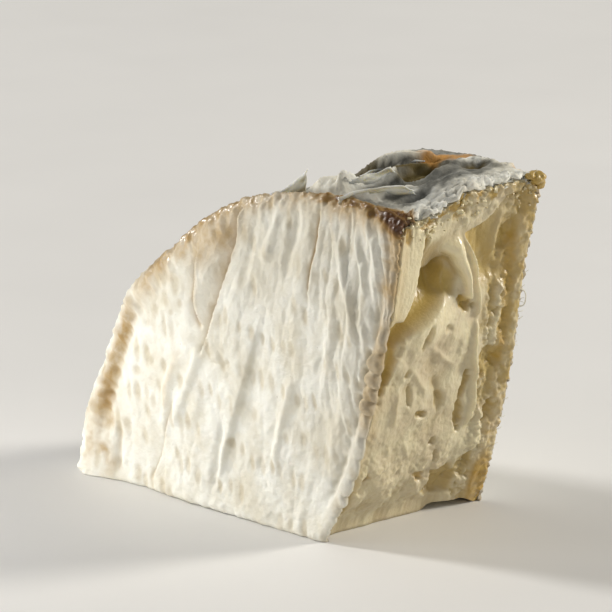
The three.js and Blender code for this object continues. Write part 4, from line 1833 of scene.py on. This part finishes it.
class CheeseLook(bpy.types.PropertyGroup):
    """Colours of the rind, the paste and the floor"""

    rind_white: colour_setting("Rind white", "Bloom on the rind", (0.85, 0.84, 0.76))
    rind_cream: colour_setting("Rind cream", "Thin bloom", (0.74, 0.70, 0.58))
    mat_mark: colour_setting("Mat mark", "Dents of the drying mat", (0.55, 0.48, 0.34))
    # painted shade in the front's fold valleys, over its upper and right parts and on the lip
    valley_grey: colour_setting("Valley shade", "Bottom of a fold", (0.50, 0.455, 0.345))
    # painted shade on the rim's low skin and on the flaps
    rim_shade_grey: colour_setting("Skin grey", "Grey skin on the rim", (0.075, 0.075, 0.062))
    # the shoulder's tan stain, also painted shade along the front's folds and on the lip
    tan_stain_and_shade: colour_setting("Shoulder tan", "Wet tan edge", (0.45, 0.305, 0.13))
    # the wet corner's stain, also painted shade along the front's big creases
    soaked_gold_and_shade: colour_setting("Soaked gold", "Golden edge of the wet corner", (0.33, 0.19, 0.045))
    soaked_brown_and_shade: colour_setting("Soaked brown", "Dark wet corner", (0.09, 0.030, 0.003))
    # olive paste in the rim's holes, painted dark as shade, also painted shade under the back sheet's
    # edge
    hollow_olive_and_shade: colour_setting("Rim hollow", "Deep folds of the rim", (0.10, 0.07, 0.012))
    stain_orange: colour_setting("Orange stain", "Orange growth on the rim", (0.60, 0.29, 0.06))
    speck_brown: colour_setting("Specks", "Fine specks on the rind", (0.32, 0.27, 0.20))
    paste_ivory: colour_setting("Paste ivory", "Main colour of the paste", (0.66, 0.585, 0.38))
    paste_buff: colour_setting("Paste buff", "Darker paste", (0.60, 0.50, 0.32))
    # painted highlight on the cut's crests and glossy tongue, and the pale crumbs
    paste_light: colour_setting("Paste light", "Crests of the torn paste", (0.88, 0.78, 0.50))
    paste_shade: colour_setting("Paste shade", "Hollows of the torn paste", (0.46, 0.35, 0.17))
    rind_line_ochre: colour_setting("Ochre", "Ripe paste beside the rind", (0.46, 0.28, 0.045))
    pocket_olive: colour_setting("Pocket olive", "Inside of the pockets", (0.50, 0.36, 0.10))
    floor_pale: colour_setting("Floor", "Pale floor", (0.80, 0.79, 0.77))


class CHEESE_PT_panel(bpy.types.Panel):
    """Lists the pieces and their settings"""

    bl_idname = "CHEESE_PT_panel"
    bl_label = "Soft cheese wedge"
    bl_space_type = "VIEW_3D"
    bl_region_type = "UI"
    bl_category = "Cheese"

    def draw(self, context):
        for operator in OPERATORS:
            self.layout.operator(operator.bl_idname)
        for group in (context.scene.cheese_sizes, context.scene.cheese_look):
            for name in group.__annotations__:
                self.layout.prop(group, name)


OPERATORS = (
    CHEESE_OT_paste,
    CHEESE_OT_rind,
    CHEESE_OT_torn_skin,
    CHEESE_OT_crumbs,
    CHEESE_OT_stage,
)
CLASSES = (CheeseSizes, CheeseLook) + OPERATORS + (CHEESE_PT_panel,)


def register():
    for item in CLASSES:
        bpy.utils.register_class(item)
    bpy.types.Scene.cheese_sizes = bpy.props.PointerProperty(type=CheeseSizes)
    bpy.types.Scene.cheese_look = bpy.props.PointerProperty(type=CheeseLook)


def unregister():
    del bpy.types.Scene.cheese_look
    del bpy.types.Scene.cheese_sizes
    for item in reversed(CLASSES):
        bpy.utils.unregister_class(item)


def main():
    register()
    bpy.ops.cheese.paste()
    bpy.ops.cheese.rind()
    bpy.ops.cheese.torn_skin()
    bpy.ops.cheese.crumbs()
    bpy.ops.cheese.stage()


if __name__ == "__main__":
    main()
